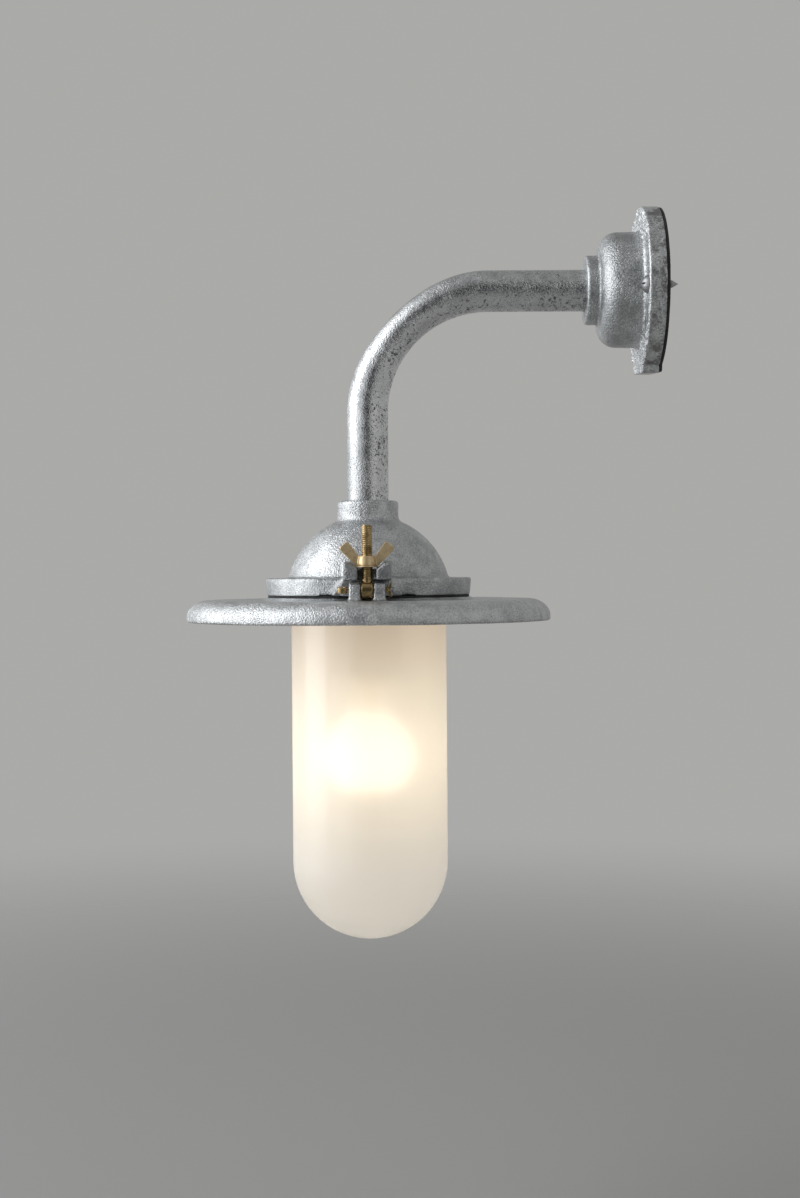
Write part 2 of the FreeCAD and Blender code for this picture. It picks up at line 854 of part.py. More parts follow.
def flat_ring(bore, radius, bottom, top):
    """A flat ring on the lamp's axis."""
    return on_lamp_axis(turned([(bore, bottom, 0), (radius, bottom, 0), (radius, top, 0), (bore, top, 0)]))


def well_glass():
    """The frosted well glass: a straight tube with a round end and a flat rim that sits in the visor."""
    bore = glass_radius - glass_wall
    glass = turned(
        [
            (0, -glass_drop, 0),
            (glass_radius, -glass_drop, glass_radius),
            (glass_radius, glass_rim_bottom, glass_rim_edge),
            (glass_rim_radius, glass_rim_bottom, glass_rim_edge),
            (glass_rim_radius, glass_top, glass_rim_edge),
            (bore, glass_top, glass_rim_edge),
            (bore, glass_wall - glass_drop, bore),
            (0, glass_wall - glass_drop, 0),
        ]
    )
    return on_lamp_axis(glass)


def glass_ring():
    """The steel ring that holds the glass down in its pocket."""
    ring = turned(
        [
            (ring_bore_radius, ring_bottom, 0),
            (ring_radius, ring_bottom, 0),
            (ring_radius, ring_top, 0),
            (ring_bore_radius, ring_top, 0),
        ]
    )
    for angle in around(ring_screw_count, ring_screw_first_deg):
        x = ring_screw_circle_radius * math.cos(angle)
        y = ring_screw_circle_radius * math.sin(angle)
        bottom = Vector(x, y, ring_bottom - overrun)
        ring = ring.cut(rod(ring_screw_radius + fitting_clearance, bottom, Vector(x, y, ring_top + overrun)))
    return on_lamp_axis(solid_from(ring))


def ring_screws():
    """The screws of the glass ring."""
    screws = []
    for angle in around(ring_screw_count, ring_screw_first_deg):
        screw = slotted_screw(
            ring_screw_head_radius,
            ring_screw_head_height,
            ring_screw_slot_width,
            ring_screw_slot_depth,
            ring_screw_radius,
            ring_screw_length,
        )
        screw.rotate(Vector(0, 0, 0), Vector(0, 0, 1), math.degrees(angle))
        x = ring_screw_circle_radius * math.cos(angle)
        y = ring_screw_circle_radius * math.sin(angle)
        screws.append(on_lamp_axis(moved(screw, x, y, ring_top)))
    return Part.Compound(screws)


def swing_bolt():
    """The front swing bolt: an eye on the pivot pin, a short tapered root and a plain shank."""
    eye = rod(eye_radius, Vector(-eye_thickness / 2, 0, 0), Vector(eye_thickness / 2, 0, 0))
    shank = turned(
        [
            (0, 0, 0),
            (bolt_root_radius, 0, 0),
            (bolt_root_radius, bolt_root_height, 0),
            (bolt_radius, bolt_root_height + bolt_root_taper, 0),
            (bolt_radius, bolt_length - bolt_tip_chamfer, 0),
            (bolt_radius - bolt_tip_chamfer, bolt_length, 0),
            (0, bolt_length, 0),
        ]
    )
    far = eye_thickness / 2 + overrun
    bore = rod(pin_radius + running_clearance, Vector(-far, 0, 0), Vector(far, 0, 0))
    bolt = solid_from(eye.fuse(shank).cut(bore).removeSplitter())
    return on_lamp_axis(moved(bolt, 0, -bolt_circle_radius, pin_level))


def washer():
    """The thin washer between lug and wing nut."""
    bore = bolt_radius + fitting_clearance
    disc = turned(
        [(bore, 0, 0), (washer_radius, 0, 0), (washer_radius, washer_thickness, 0), (bore, washer_thickness, 0)]
    )
    return on_lamp_axis(moved(disc, 0, -bolt_circle_radius, pin_level + lug_seat))


def wing(side):
    """One wing of the nut, drawn as its photographed outline and set on one side of the hub."""
    corners = [
        (wing_root, 0, 0),
        (wing_heel, 0, wing_back_round / 2),
        (wing_half_span - wing_elbow_in, wing_elbow_up, wing_back_round),
        (wing_half_span, wing_height - wing_tip_drop, wing_tip_round),
        (wing_half_span - wing_width, wing_height, wing_tip_round),
        (wing_crotch_out, wing_crotch_up, wing_tip_round),
        (wing_root, nut_hub_height - nut_hub_edge, 0),
    ]
    blade = prism_along_y(corners, -wing_thickness / 2, wing_thickness / 2)
    if side < 0:
        blade.rotate(Vector(0, 0, 0), Vector(0, 0, 1), half_turn_deg)
    return blade


def wing_nut():
    """The wing nut of the front closing, resting on its washer."""
    hub = turned(
        [
            (0, 0, 0),
            (nut_hub_radius, 0, nut_hub_edge),
            (nut_hub_top_radius, nut_hub_height, nut_hub_edge),
            (0, nut_hub_height, 0),
        ]
    )
    nut = hub.fuse([wing(-1), wing(1)])
    thread = rod(
        bolt_radius + running_clearance, Vector(0, 0, -overrun), Vector(0, 0, nut_hub_height + overrun)
    )
    nut = solid_from(nut.cut(thread).removeSplitter())
    return on_lamp_axis(moved(nut, 0, -bolt_circle_radius, pin_level + lug_seat + washer_thickness))


def pin_leg(side):
    """The end of one leg of the split pin, bent up or down beside the ear."""
    half = ear_width / 2
    start = half + running_clearance
    near = half + pin_leg_reach - pin_leg_thickness
    far = half + pin_leg_reach
    inner = pin_split / 2
    outer = inner + pin_leg_thickness
    corners = [
        (start, side * inner, 0),
        (far, side * inner, pin_leg_thickness),
        (far + pin_leg_splay, side * pin_leg_spread, pin_leg_thickness / 3),
        (near + pin_leg_splay, side * pin_leg_spread, pin_leg_thickness / 3),
        (near, side * outer, pin_leg_thickness / 3),
        (start, side * outer, 0),
    ]
    return prism_along_y(corners, -pin_leg_width / 2, pin_leg_width / 2)


def split_pin():
    """The split pin of the front closing: a loop on the left, and two legs bent apart on the right."""
    half = ear_width / 2
    ring_centre = pin_loop_radius - half - pin_loop_reach
    stem_end = half + pin_leg_reach - pin_leg_thickness
    stem = rod(pin_radius, Vector(ring_centre - pin_loop_bore, 0, 0), Vector(stem_end, 0, 0))
    split = Part.makeBox(ear_width + pin_leg_reach, 2 * pin_radius + 2 * overrun, pin_split)
    stem = stem.cut(moved(split, -half, -pin_radius - overrun, -pin_split / 2))
    stem = stem.fuse([pin_leg(1), pin_leg(-1)])
    top = pin_loop_height / 2
    loop = rod(pin_loop_radius, Vector(ring_centre, 0, -top), Vector(ring_centre, 0, top))
    bore = rod(pin_loop_bore, Vector(ring_centre, 0, -top - overrun), Vector(ring_centre, 0, top + overrun))
    for shape in (loop, bore):
        shape.rotate(Vector(0, 0, 0), Vector(1, 0, 0), pin_loop_tilt_deg)
    pin = solid_from(stem.fuse(loop).cut(bore).removeSplitter())
    return on_lamp_axis(moved(pin, 0, -bolt_circle_radius, pin_level))


def lamp_bridge():
    """The steel strap across the dome that carries the lampholder."""
    end = bridge_half_span + bridge_end
    half = bridge_width / 2
    strap = prism_along_z(
        mirrored_outline([(end, half, bridge_end), (end, -half, bridge_end)]), bridge_bottom, bridge_top
    )
    below = bridge_bottom - overrun
    above = bridge_top + overrun
    strap = strap.cut(rod(nipple_radius + fitting_clearance, Vector(0, 0, below), Vector(0, 0, above)))
    for side in (-1, 1):
        x = side * bridge_half_span
        strap = strap.cut(rod(bridge_screw_radius + fitting_clearance, Vector(x, 0, below), Vector(x, 0, above)))
    return on_lamp_axis(solid_from(strap))


def bridge_screws():
    """The two screws that hold the bridge to the bosses in the dome."""
    screws = []
    for side in (-1, 1):
        screw = slotted_screw(
            bridge_head_radius,
            bridge_head_height,
            bridge_slot_width,
            bridge_slot_depth,
            bridge_screw_radius,
            bridge_screw_length,
        )
        screw.rotate(Vector(0, 0, 0), Vector(1, 0, 0), half_turn_deg)
        screws.append(on_lamp_axis(moved(screw, side * bridge_half_span, 0, bridge_bottom)))
    return Part.Compound(screws)


def holder_nipple():
    """The hollow nipple that clamps the lampholder to the bridge and lets the leads through."""
    top = bridge_top + nipple_above
    bottom = bridge_bottom - nipple_below
    return flat_ring(nipple_bore_radius, nipple_radius, bottom, top)


def holder_nut():
    """The six-sided nut on the nipple, above the bridge."""
    radius = nut_across_flats / 2 / math.cos(math.radians(half_turn_deg / nut_sides))
    corners = [(radius * math.cos(angle), radius * math.sin(angle), 0) for angle in around(nut_sides, 0)]
    nut = prism_along_z(corners, bridge_top, bridge_top + nut_height)
    bore = rod(nipple_radius + running_clearance, Vector(0, 0, bridge_bottom), Vector(0, 0, 0))
    return on_lamp_axis(solid_from(nut.cut(bore)))


def holder_body():
    """The porcelain lampholder body: neck, shoulder and a skirt round the screw shell."""
    shoulder = bridge_bottom - holder_neck_height
    bore_top = holder_bottom + holder_bore_depth
    nipple_end = bridge_bottom - nipple_below
    body = turned(
        [
            (nipple_radius + running_clearance, bridge_bottom, 0),
            (holder_neck_radius, bridge_bottom, holder_edge),
            (holder_neck_radius, shoulder, holder_edge),
            (holder_radius, shoulder - holder_shoulder_height, holder_shoulder_round),
            (holder_radius, holder_bottom, holder_edge),
            (holder_bore_radius, holder_bottom, holder_edge / 2),
            (holder_bore_radius, bore_top, 0),
            (holder_lead_radius, bore_top, 0),
            (holder_lead_radius, nipple_end, 0),
            (nipple_radius + running_clearance, nipple_end, 0),
        ]
    )
    return on_lamp_axis(body)


def holder_shell():
    """The brass screw shell of the lampholder, open below, with a floor that is bored for the contact."""
    top = holder_bottom + holder_bore_depth
    bottom = top - shell_depth
    inside = shell_radius - shell_wall
    floor_bore = shell_radius - contact_reach / 2
    shell = turned(
        [
            (inside, bottom, 0),
            (shell_radius, bottom, 0),
            (shell_radius, top, 0),
            (floor_bore, top, 0),
            (floor_bore, top - shell_wall, 0),
            (inside, top - shell_wall, 0),
        ]
    )
    return on_lamp_axis(shell)


def holder_contact():
    """The sprung centre contact: a thin tongue under the lead hole that presses on the lamp."""
    top = holder_bottom + holder_bore_depth
    under = top - contact_thickness
    corners = [
        (-contact_reach, top, 0),
        (contact_reach / 2, top, contact_thickness),
        (contact_reach / 2, lamp_top, contact_thickness),
        (-contact_reach / 2, lamp_top, 0),
        (-contact_reach / 2, lamp_top + contact_thickness, 0),
        (contact_reach / 2 - contact_thickness, lamp_top + contact_thickness, 0),
        (contact_reach / 2 - contact_thickness, under, 0),
        (-contact_reach, under, 0),
    ]
    return on_lamp_axis(prism_along_y(corners, -contact_width / 2, contact_width / 2))


def envelope_wire(inward):
    """Half the outline of the lamp's envelope: a neck, a smooth shoulder and a round end."""
    radius = lamp_radius - inward
    neck = lamp_neck_radius - inward
    centre = lamp_tip + lamp_radius
    shoulder = centre + lamp_shoulder
    lean = math.atan2(lamp_radius - lamp_neck_radius, lamp_shoulder) / 2
    start = point(neck, cap_skirt_bottom)
    knee = point(neck, shoulder)
    side = point(radius * math.cos(lean), centre + radius * math.sin(lean))
    waist = Part.BezierCurve()
    waist.setPoles([knee, point(neck, shoulder - lamp_shoulder / 3), side + tangent_up(lean), side])
    end = point(0, centre - radius)
    middle = point(radius * math.cos(-lean), centre - radius * math.sin(lean))
    return start, knee, waist, side, middle, end


def tangent_up(lean):
    """The way the round end's outline leaves towards the neck, as a short step."""
    step = lamp_shoulder / 3
    return point(-step * math.sin(lean), step * math.cos(lean))


def envelope_solid(inward, lift):
    """The envelope's outer form, or its hollow when drawn inward by the wall."""
    start, knee, waist, side, middle, end = envelope_wire(inward)
    axis_top = point(0, start.y + lift)
    top = point(start.x, start.y + lift)
    edges = [
        Part.LineSegment(axis_top, top).toShape(),
        Part.LineSegment(top, knee).toShape(),
        waist.toShape(),
        Part.Arc(side, middle, end).toShape(),
        Part.LineSegment(end, axis_top).toShape(),
    ]
    spun = Part.Face(Part.Wire(edges)).revolve(Vector(0, 0, 0), Vector(0, 1, 0), full_turn_deg)
    spun.rotate(Vector(0, 0, 0), Vector(1, 0, 0), quarter_turn_deg)
    return solid_from(spun)


def lamp_envelope():
    """The glass envelope of the lamp, with its neck inside the cap."""
    lift = cap_taper
    whole = envelope_solid(0, lift)
    hollow = envelope_solid(lamp_wall, lift - lamp_wall)
    return on_lamp_axis(solid_from(whole.cut(hollow)))


def lamp_cap():
    """The screw cap of the lamp."""
    inside = cap_radius - cap_wall
    cap = turned(
        [
            (inside, cap_skirt_bottom, 0),
            (cap_radius, cap_skirt_bottom, 0),
            (cap_radius, cap_skirt_top, 0),
            (insulator_radius, cap_top, 0),
            (insulator_radius, cap_top - cap_wall, 0),
            (inside, cap_skirt_top - cap_wall, 0),
        ]
    )
    return on_lamp_axis(cap)


def lamp_insulator():
    """The dark insulating disc in the end of the cap."""
    return flat_ring(0, insulator_radius, cap_top - cap_taper / 2, cap_top)


def lamp_contact():
    """The soldered contact in the middle of the lamp's end."""
    contact = turned(
        [
            (0, cap_top, 0),
            (contact_tip_radius, cap_top, 0),
            (contact_tip_radius, lamp_top, contact_tip_height / 2),
            (0, lamp_top, 0),
        ]
    )
    return on_lamp_axis(contact)


def glass_seal(bottom):
    """A rubber ring of the glass, at its own level."""
    bore = glass_radius + glass_rim_edge + glass_seal_clearance
    return flat_ring(bore, glass_rim_radius, bottom, bottom + glass_seal_thickness)


def all_parts():
    """Every node's name with its shape."""
    parts = {
        "wall_plate": wall_plate(),
        "wall_gasket": wall_gasket(),
        "wall_screws": wall_screws(),
        "terminal_block": terminal_block(),
        "terminal_tubes": terminal_tubes(),
        "terminal_screws": terminal_screws(),
        "earth_screw": earth_screw(),
        "bracket_arm": bracket_arm(),
        "core_leads": core_leads(),
        "dome_cover": dome_cover(),
        "dome_seal": dome_seal(),
        "lamp_bridge": lamp_bridge(),
        "bridge_screws": bridge_screws(),
        "holder_nipple": holder_nipple(),
        "holder_nut": holder_nut(),
        "holder_body": holder_body(),
        "holder_shell": holder_shell(),
        "holder_contact": holder_contact(),
        "lamp_envelope": lamp_envelope(),
        "lamp_cap": lamp_cap(),
        "lamp_insulator": lamp_insulator(),
        "lamp_contact": lamp_contact(),
        "visor": visor(),
        "well_glass": well_glass(),
        "glass_seal_lower": glass_seal(ledge_top),
        "glass_seal_upper": glass_seal(glass_top),
        "glass_ring": glass_ring(),
        "ring_screws": ring_screws(),
    }
    closing = {
        "swing_bolt": swing_bolt(),
        "bolt_washer": washer(),
        "wing_nut": wing_nut(),
        "split_pin": split_pin(),
    }
    for side, turn_deg in (("front", 0), ("rear", half_turn_deg)):
        for name, shape in closing.items():
            parts[name + "_" + side] = at_side(shape, turn_deg)
    return parts


os.makedirs("parts", exist_ok=True)
for node, shape in all_parts().items():
    box = shape.BoundBox
    size = [round(value, 1) for value in (box.XLength, box.YLength, box.ZLength)]
    print(node, len(shape.Solids), "solids, volume", round(shape.Volume), "size", size, shape.isValid())
    shape.exportStep("parts/" + node + ".step")
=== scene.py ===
# %% [markdown]
# # Dressing an outdoor bracket light
# The CAD model is the frame: it fixes every size and every joint. This file dresses it piece by piece, as a
# workshop would finish the real fitting: castings come out of sand, get their zinc coat, and are bolted up
# with brass hardware round a frosted glass. All lengths are in metres, and MM turns millimetres into them.

# %% Load the frame
import json
import math

import bmesh
import bpy
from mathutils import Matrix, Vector


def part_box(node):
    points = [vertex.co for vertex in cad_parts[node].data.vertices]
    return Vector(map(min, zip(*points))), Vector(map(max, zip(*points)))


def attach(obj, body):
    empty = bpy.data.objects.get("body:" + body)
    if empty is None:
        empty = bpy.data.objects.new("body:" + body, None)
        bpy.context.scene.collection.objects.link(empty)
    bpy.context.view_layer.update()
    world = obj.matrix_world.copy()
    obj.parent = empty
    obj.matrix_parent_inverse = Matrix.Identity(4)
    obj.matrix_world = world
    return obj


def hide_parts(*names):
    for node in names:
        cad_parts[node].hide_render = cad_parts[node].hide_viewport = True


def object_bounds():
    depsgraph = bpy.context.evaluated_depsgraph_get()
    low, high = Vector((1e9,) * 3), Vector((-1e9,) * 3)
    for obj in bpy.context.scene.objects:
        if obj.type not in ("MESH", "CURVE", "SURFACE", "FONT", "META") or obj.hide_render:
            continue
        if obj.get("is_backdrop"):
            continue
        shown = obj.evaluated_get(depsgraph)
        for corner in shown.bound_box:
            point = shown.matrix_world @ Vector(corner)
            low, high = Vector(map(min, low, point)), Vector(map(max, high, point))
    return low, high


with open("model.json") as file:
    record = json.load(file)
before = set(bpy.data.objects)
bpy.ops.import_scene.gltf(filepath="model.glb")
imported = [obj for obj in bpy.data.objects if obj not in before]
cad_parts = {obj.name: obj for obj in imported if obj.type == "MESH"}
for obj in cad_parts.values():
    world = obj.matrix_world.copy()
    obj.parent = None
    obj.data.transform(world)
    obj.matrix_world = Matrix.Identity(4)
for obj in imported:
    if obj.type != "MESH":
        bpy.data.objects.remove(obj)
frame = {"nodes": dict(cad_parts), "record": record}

MM = 0.001
cad_low, cad_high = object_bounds()
scene = bpy.context.scene
print("the frame is", [round(size / MM) for size in cad_high - cad_low], "mm over all")

# %% [markdown]
# ## The camera
# The photograph was taken from the side, level with the dome's rim, from a little over a metre. The camera
# stands there, tips down a little and leans by under a degree, as the photograph does.

# %% Stand the camera
glass_low, glass_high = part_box("well_glass")
LAMP_X = (glass_low.x + glass_high.x) / 2
CAMERA_PLACE = Vector((-0.1755, -1.176, -0.183))
CAMERA_LENS = 54.1
CAMERA_TIP = math.radians(0.84)
CAMERA_LEAN = math.radians(0.4)
CAMERA_TURN = math.radians(-0.28)

camera_data = bpy.data.cameras.new("camera")
camera_data.lens = CAMERA_LENS
camera = bpy.data.objects.new("camera", camera_data)
scene.collection.objects.link(camera)
camera.location = CAMERA_PLACE
camera.rotation_euler = (math.pi / 2 - CAMERA_TIP, CAMERA_LEAN, CAMERA_TURN)
scene.camera = camera
scene.view_settings.view_transform = "Standard"
print("the camera stands", round(-CAMERA_PLACE.y, 3), "m before the lamp's axis")

# %% [markdown]
# ## Writing nodes as sums
# A finish is a tree of nodes. Written out node by node it is long and hard to read, so a Wire holds one
# output and knows how to add, subtract, multiply and divide: each sign adds the Math node that does it. Every
# other node comes from Board.add, which takes the node's settings first and then what goes into its sockets.

# %% A wire that can be reckoned with
# A Mix node has a set of sockets for each kind of value. These are the places of the ones for colours.
MIX_SHARE = 0
MIX_COLOURS = (6, 7)
MIX_RESULT = 2


class Wire:
    """One output of a node. A sum that is written with it adds the Math nodes for it."""

    def __init__(self, board, socket):
        self.board = board
        self.socket = socket

    def reckon(self, operation, *values):
        return self.board.add("ShaderNodeMath", {"operation": operation}, dict(enumerate(values)))

    def __add__(self, other):
        return self.reckon("ADD", self, other)

    def __sub__(self, other):
        return self.reckon("SUBTRACT", self, other)

    def __rsub__(self, other):
        return self.reckon("SUBTRACT", other, self)

    def __mul__(self, other):
        return self.reckon("MULTIPLY", self, other)

    def __truediv__(self, other):
        return self.reckon("DIVIDE", self, other)

    def __rtruediv__(self, other):
        return self.reckon("DIVIDE", other, self)

    def __pow__(self, other):
        return self.reckon("POWER", self, other)

    def __abs__(self):
        return self.reckon("ABSOLUTE", self)


class Board:
    """A node tree that is filled by Python lines."""

    def __init__(self, tree):
        self.tree = tree

    def add(self, kind, settings=None, inputs=None, output=0):
        node = self.tree.nodes.new(kind)
        for name, value in (settings or {}).items():
            if name == "stops":
                self.set_stops(node.color_ramp, value)
            else:
                setattr(node, name, value)
        for key, value in (inputs or {}).items():
            if isinstance(value, Wire):
                self.tree.links.new(value.socket, node.inputs[key])
            else:
                node.inputs[key].default_value = value
        return Wire(self, node.outputs[output]) if len(node.outputs) else node

    def set_stops(self, ramp, stops):
        while len(ramp.elements) < len(stops):
            ramp.elements.new(1)
        for element, (place, tone) in zip(ramp.elements, stops):
            element.position = place
            element.color = (*tone, 1)

    def parts(self, vector):
        """The x, y and z of a vector, as three wires."""
        first = self.add("ShaderNodeSeparateXYZ", {}, {0: vector})
        return [Wire(self, output) for output in first.socket.node.outputs]

    def noise(self, place, size, detail=3, roughness=0.5, distortion=0):
        """Cloudy noise whose lumps are about this size across."""
        return self.add("ShaderNodeTexNoise", {}, {
            "Vector": place,
            "Scale": 1 / size,
            "Detail": detail,
            "Roughness": roughness,
            "Distortion": distortion,
        })

    def larger(self, first, second):
        return self.add("ShaderNodeMath", {"operation": "MAXIMUM"}, {0: first, 1: second})

    def smaller(self, first, second):
        return self.add("ShaderNodeMath", {"operation": "MINIMUM"}, {0: first, 1: second})

    def step(self, value, low, high):
        """0 below low, 1 above high, and a smooth rise between."""
        sockets = {"Value": value, "From Min": low, "From Max": high}
        return self.add("ShaderNodeMapRange", {"interpolation_type": "SMOOTHSTEP"}, sockets)

    def mix(self, share, first, second):
        """first where share is 0, second where it is 1, as colours."""
        sockets = {MIX_SHARE: share, MIX_COLOURS[0]: first, MIX_COLOURS[1]: second}
        return self.add("ShaderNodeMix", {"data_type": "RGBA"}, sockets, MIX_RESULT)

    def blend(self, share, first, second):
        """first where share is 0, second where it is 1, as shaders."""
        return self.add("ShaderNodeMixShader", {}, {0: share, 1: first, 2: second})


print("a board adds", len([name for name in vars(Board) if not name.startswith("_")]), "kinds of line")

# %% [markdown]
# ## The stage and the light
# The fitting hangs in front of a plain pale grey. The floor is a disc that fades into that grey, so that it
# has no edge, and keeps a soft shadow. Zinc is half a mirror: it looks grey only because it shows its
# surroundings. So the world is brighter on the side of the window, where a large soft lamp draws the long
# highlights, and darker behind the camera.

# %% Lay the floor and hang the lamps
def colour(red, green, blue):
    return (red, green, blue, 1)


BACKDROP_GREY = colour(0.405, 0.403, 0.392)
FLOOR_GREY = colour(0.42, 0.418, 0.408)
FLOOR_LEVEL = -0.62
FLOOR_RADIUS = 1.9
FLOOR_FADE_FROM = 0.5
FLOOR_SEGMENTS = 96
LAMPS_AIM = Vector((LAMP_X, 0, -0.2))


def new_object(name, mesh):
    piece = bpy.data.objects.new(name, mesh)
    scene.collection.objects.link(piece)
    return piece


def disc(name, radius, level, rim_points):
    form = bmesh.new()
    bmesh.ops.create_circle(form, cap_ends=True, segments=rim_points, radius=radius)
    bmesh.ops.translate(form, verts=form.verts, vec=(LAMP_X, 0, level))
    mesh = bpy.data.meshes.new(name)
    form.to_mesh(mesh)
    form.free()
    return new_object(name, mesh)


def floor_finish():
    material = bpy.data.materials.new("pale floor")
    material.use_nodes = True
    material.node_tree.nodes.clear()
    board = Board(material.node_tree)
    place = board.add("ShaderNodeTexCoord", output="Object")
    centre = (LAMP_X, 0, FLOOR_LEVEL)
    reach = board.add("ShaderNodeVectorMath", {"operation": "DISTANCE"}, {0: place, 1: centre}, "Value")
    fade = board.step(reach, FLOOR_FADE_FROM, FLOOR_RADIUS)
    matt = board.add("ShaderNodeBsdfDiffuse", {}, {"Color": FLOOR_GREY})
    clear = board.add("ShaderNodeBsdfTransparent")
    board.add("ShaderNodeOutputMaterial", {}, {"Surface": board.blend(fade, matt, clear)})
    return material


floor = disc("floor", FLOOR_RADIUS, FLOOR_LEVEL, FLOOR_SEGMENTS)
floor.data.materials.append(floor_finish())
floor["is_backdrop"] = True


def soft_lamp(name, place, size, power, tint):
    data = bpy.data.lights.new(name, "AREA")
    data.shape = "RECTANGLE"
    data.size, data.size_y = size
    data.energy = power
    data.color = tint
    lamp = bpy.data.objects.new(name, data)
    scene.collection.objects.link(lamp)
    lamp.location = place
    lamp.rotation_euler = (LAMPS_AIM - lamp.location).to_track_quat("-Z", "Y").to_euler()
    return lamp


lamps = [
    soft_lamp("window", place=(-1.82, -0.08, 0.42), size=(1.4, 2.3), power=21, tint=(0.97, 0.985, 1)),
    soft_lamp("room fill", place=(1.3, -1.9, 0.9), size=(1.6, 1.2), power=2, tint=(1, 0.97, 0.93)),
]

# The room, as the zinc mirrors it: from the camera's side to the far side, then above and below, and last
# towards the wall and towards the window.
CAMERA_SIDE, FAR_SIDE = colour(0.05, 0.051, 0.053), colour(0.36, 0.36, 0.355)
CEILING, GROUND = colour(0.30, 0.30, 0.30), colour(0.16, 0.16, 0.158)
WALL_SIDE, WINDOW_SIDE = colour(0.36, 0.36, 0.356), colour(0.80, 0.815, 0.83)

world = bpy.data.worlds.new("pale room")
world.use_nodes = True
world.node_tree.nodes.clear()
scene.world = world
sky = Board(world.node_tree)
# across, along and height say how far a way points to +X, +Y and +Z, each from -1 to 1.
across, along, height = sky.parts(sky.add("ShaderNodeTexCoord", output="Generated"))
room = sky.mix(sky.step(along, -0.8, 0.5), CAMERA_SIDE, FAR_SIDE)
room = sky.mix(sky.step(height, 0.3, 0.9), room, CEILING)
room = sky.mix(sky.step(height, -0.3, -0.9), room, GROUND)
room = sky.mix(sky.step(across, 0.10, 0.4), room, WALL_SIDE)
room = sky.mix(sky.step(across, -0.28, -0.55), room, WINDOW_SIDE)
behind = sky.step(along, 0.86, 0.95)
seen = sky.add("ShaderNodeLightPath", output="Is Camera Ray")
through = sky.add("ShaderNodeLightPath", output="Is Transmission Ray")
mirrored = sky.add("ShaderNodeLightPath", output="Is Glossy Ray") * behind
plain = sky.larger(sky.larger(seen, through), mirrored)
sky_colour = sky.mix(plain, room, BACKDROP_GREY)
glow = sky.add("ShaderNodeBackground", {}, {"Color": sky_colour, "Strength": 1})
sky.add("ShaderNodeOutputWorld", {}, {"Surface": glow})
print("lamps:", ", ".join(lamp.name for lamp in lamps))

# %% [markdown]
# ## Galvanised iron
# A hot-dip zinc coat is a mottled blue grey: cloudy light and dark patches, the grain of the sand, and dark
# pits that crowd where the iron was rough. One function makes all three zinc finishes of the fitting, so that
# castings, pipe and small steel look related and differ mainly in how coarse they are.

# %% The zinc finishes
class Finish(Board):
    """A material as a board, with the piece's own place in metres ready as a wire."""

    def __init__(self, name):
        self.material = bpy.data.materials.new(name)
        self.material.use_nodes = True
        super().__init__(self.material.node_tree)
        self.tree.nodes.clear()
        self.place = self.add("ShaderNodeTexCoord", output="Object")

    def bump(self, height, depth):
        """Normals for a relief whose heights run from 0 to 1, this deep."""
        return self.add("ShaderNodeBump", {}, {"Height": height, "Distance": depth, "Strength": 1})

    def output(self, shader):
        """Ends the material in this shader."""
        self.add("ShaderNodeOutputMaterial", {}, {"Surface": shader})
        return self.material

    def close(self, sockets):
        """Ends the material in one principled shader with these sockets."""
        return self.output(self.add("ShaderNodeBsdfPrincipled", {}, sockets))


# The sizes of the zinc's patterns.
CLOUD, PATCH, SPOT = 24 * MM, 6 * MM, 2.1 * MM
CROWD, BLOTCH, UNEVEN = 14 * MM, 11 * MM, 20 * MM

# Tones that lie over the mottled coat: a painted shade, a smudge, the arm's painted light and painted shade,
# and the pits.
SHADED, SMUDGE = colour(0.17, 0.175, 0.18), colour(0.15, 0.14, 0.13)
INNER_PAINTED_LIGHT, OUTER_PAINTED_SHADE = colour(0.86, 0.865, 0.87), colour(0.40, 0.405, 0.41)
PIT = colour(0.045, 0.045, 0.045)

# Where the zinc changes, each as the two places that it changes between.
TOWARD_WALL = (-130 * MM, -60 * MM)  # along X
FLANGE, FLANGE_FACE = (-20 * MM, -16 * MM), (-13 * MM, -10 * MM)  # along X
VISOR_SLOPE = (-204 * MM, -199 * MM)  # up Z
RIM_FOOT, RIM_TOP = (-197 * MM, -195 * MM), (-184 * MM, -181 * MM)  # up Z
LUG_FOOT = (-189 * MM, -184 * MM)  # up Z
LUG_WIDTH, PAD_WIDTH = (14 * MM, 17 * MM), (26 * MM, 36 * MM)  # to the sides of the lamp's axis, along X
LUG_DEPTH, PAD_DEPTH = (64 * MM, 68 * MM), (58 * MM, 64 * MM)  # away from the lamp's axis, along Y
HANGING = (-110 * MM, -60 * MM)  # up Z, on the arm
OUTWARD = (-3 * MM, 5 * MM)  # from the lamp's axis away from the wall
BEND_INSIDE = (-2 * MM, 8 * MM)  # from the crown of the arm's bend towards its inner side


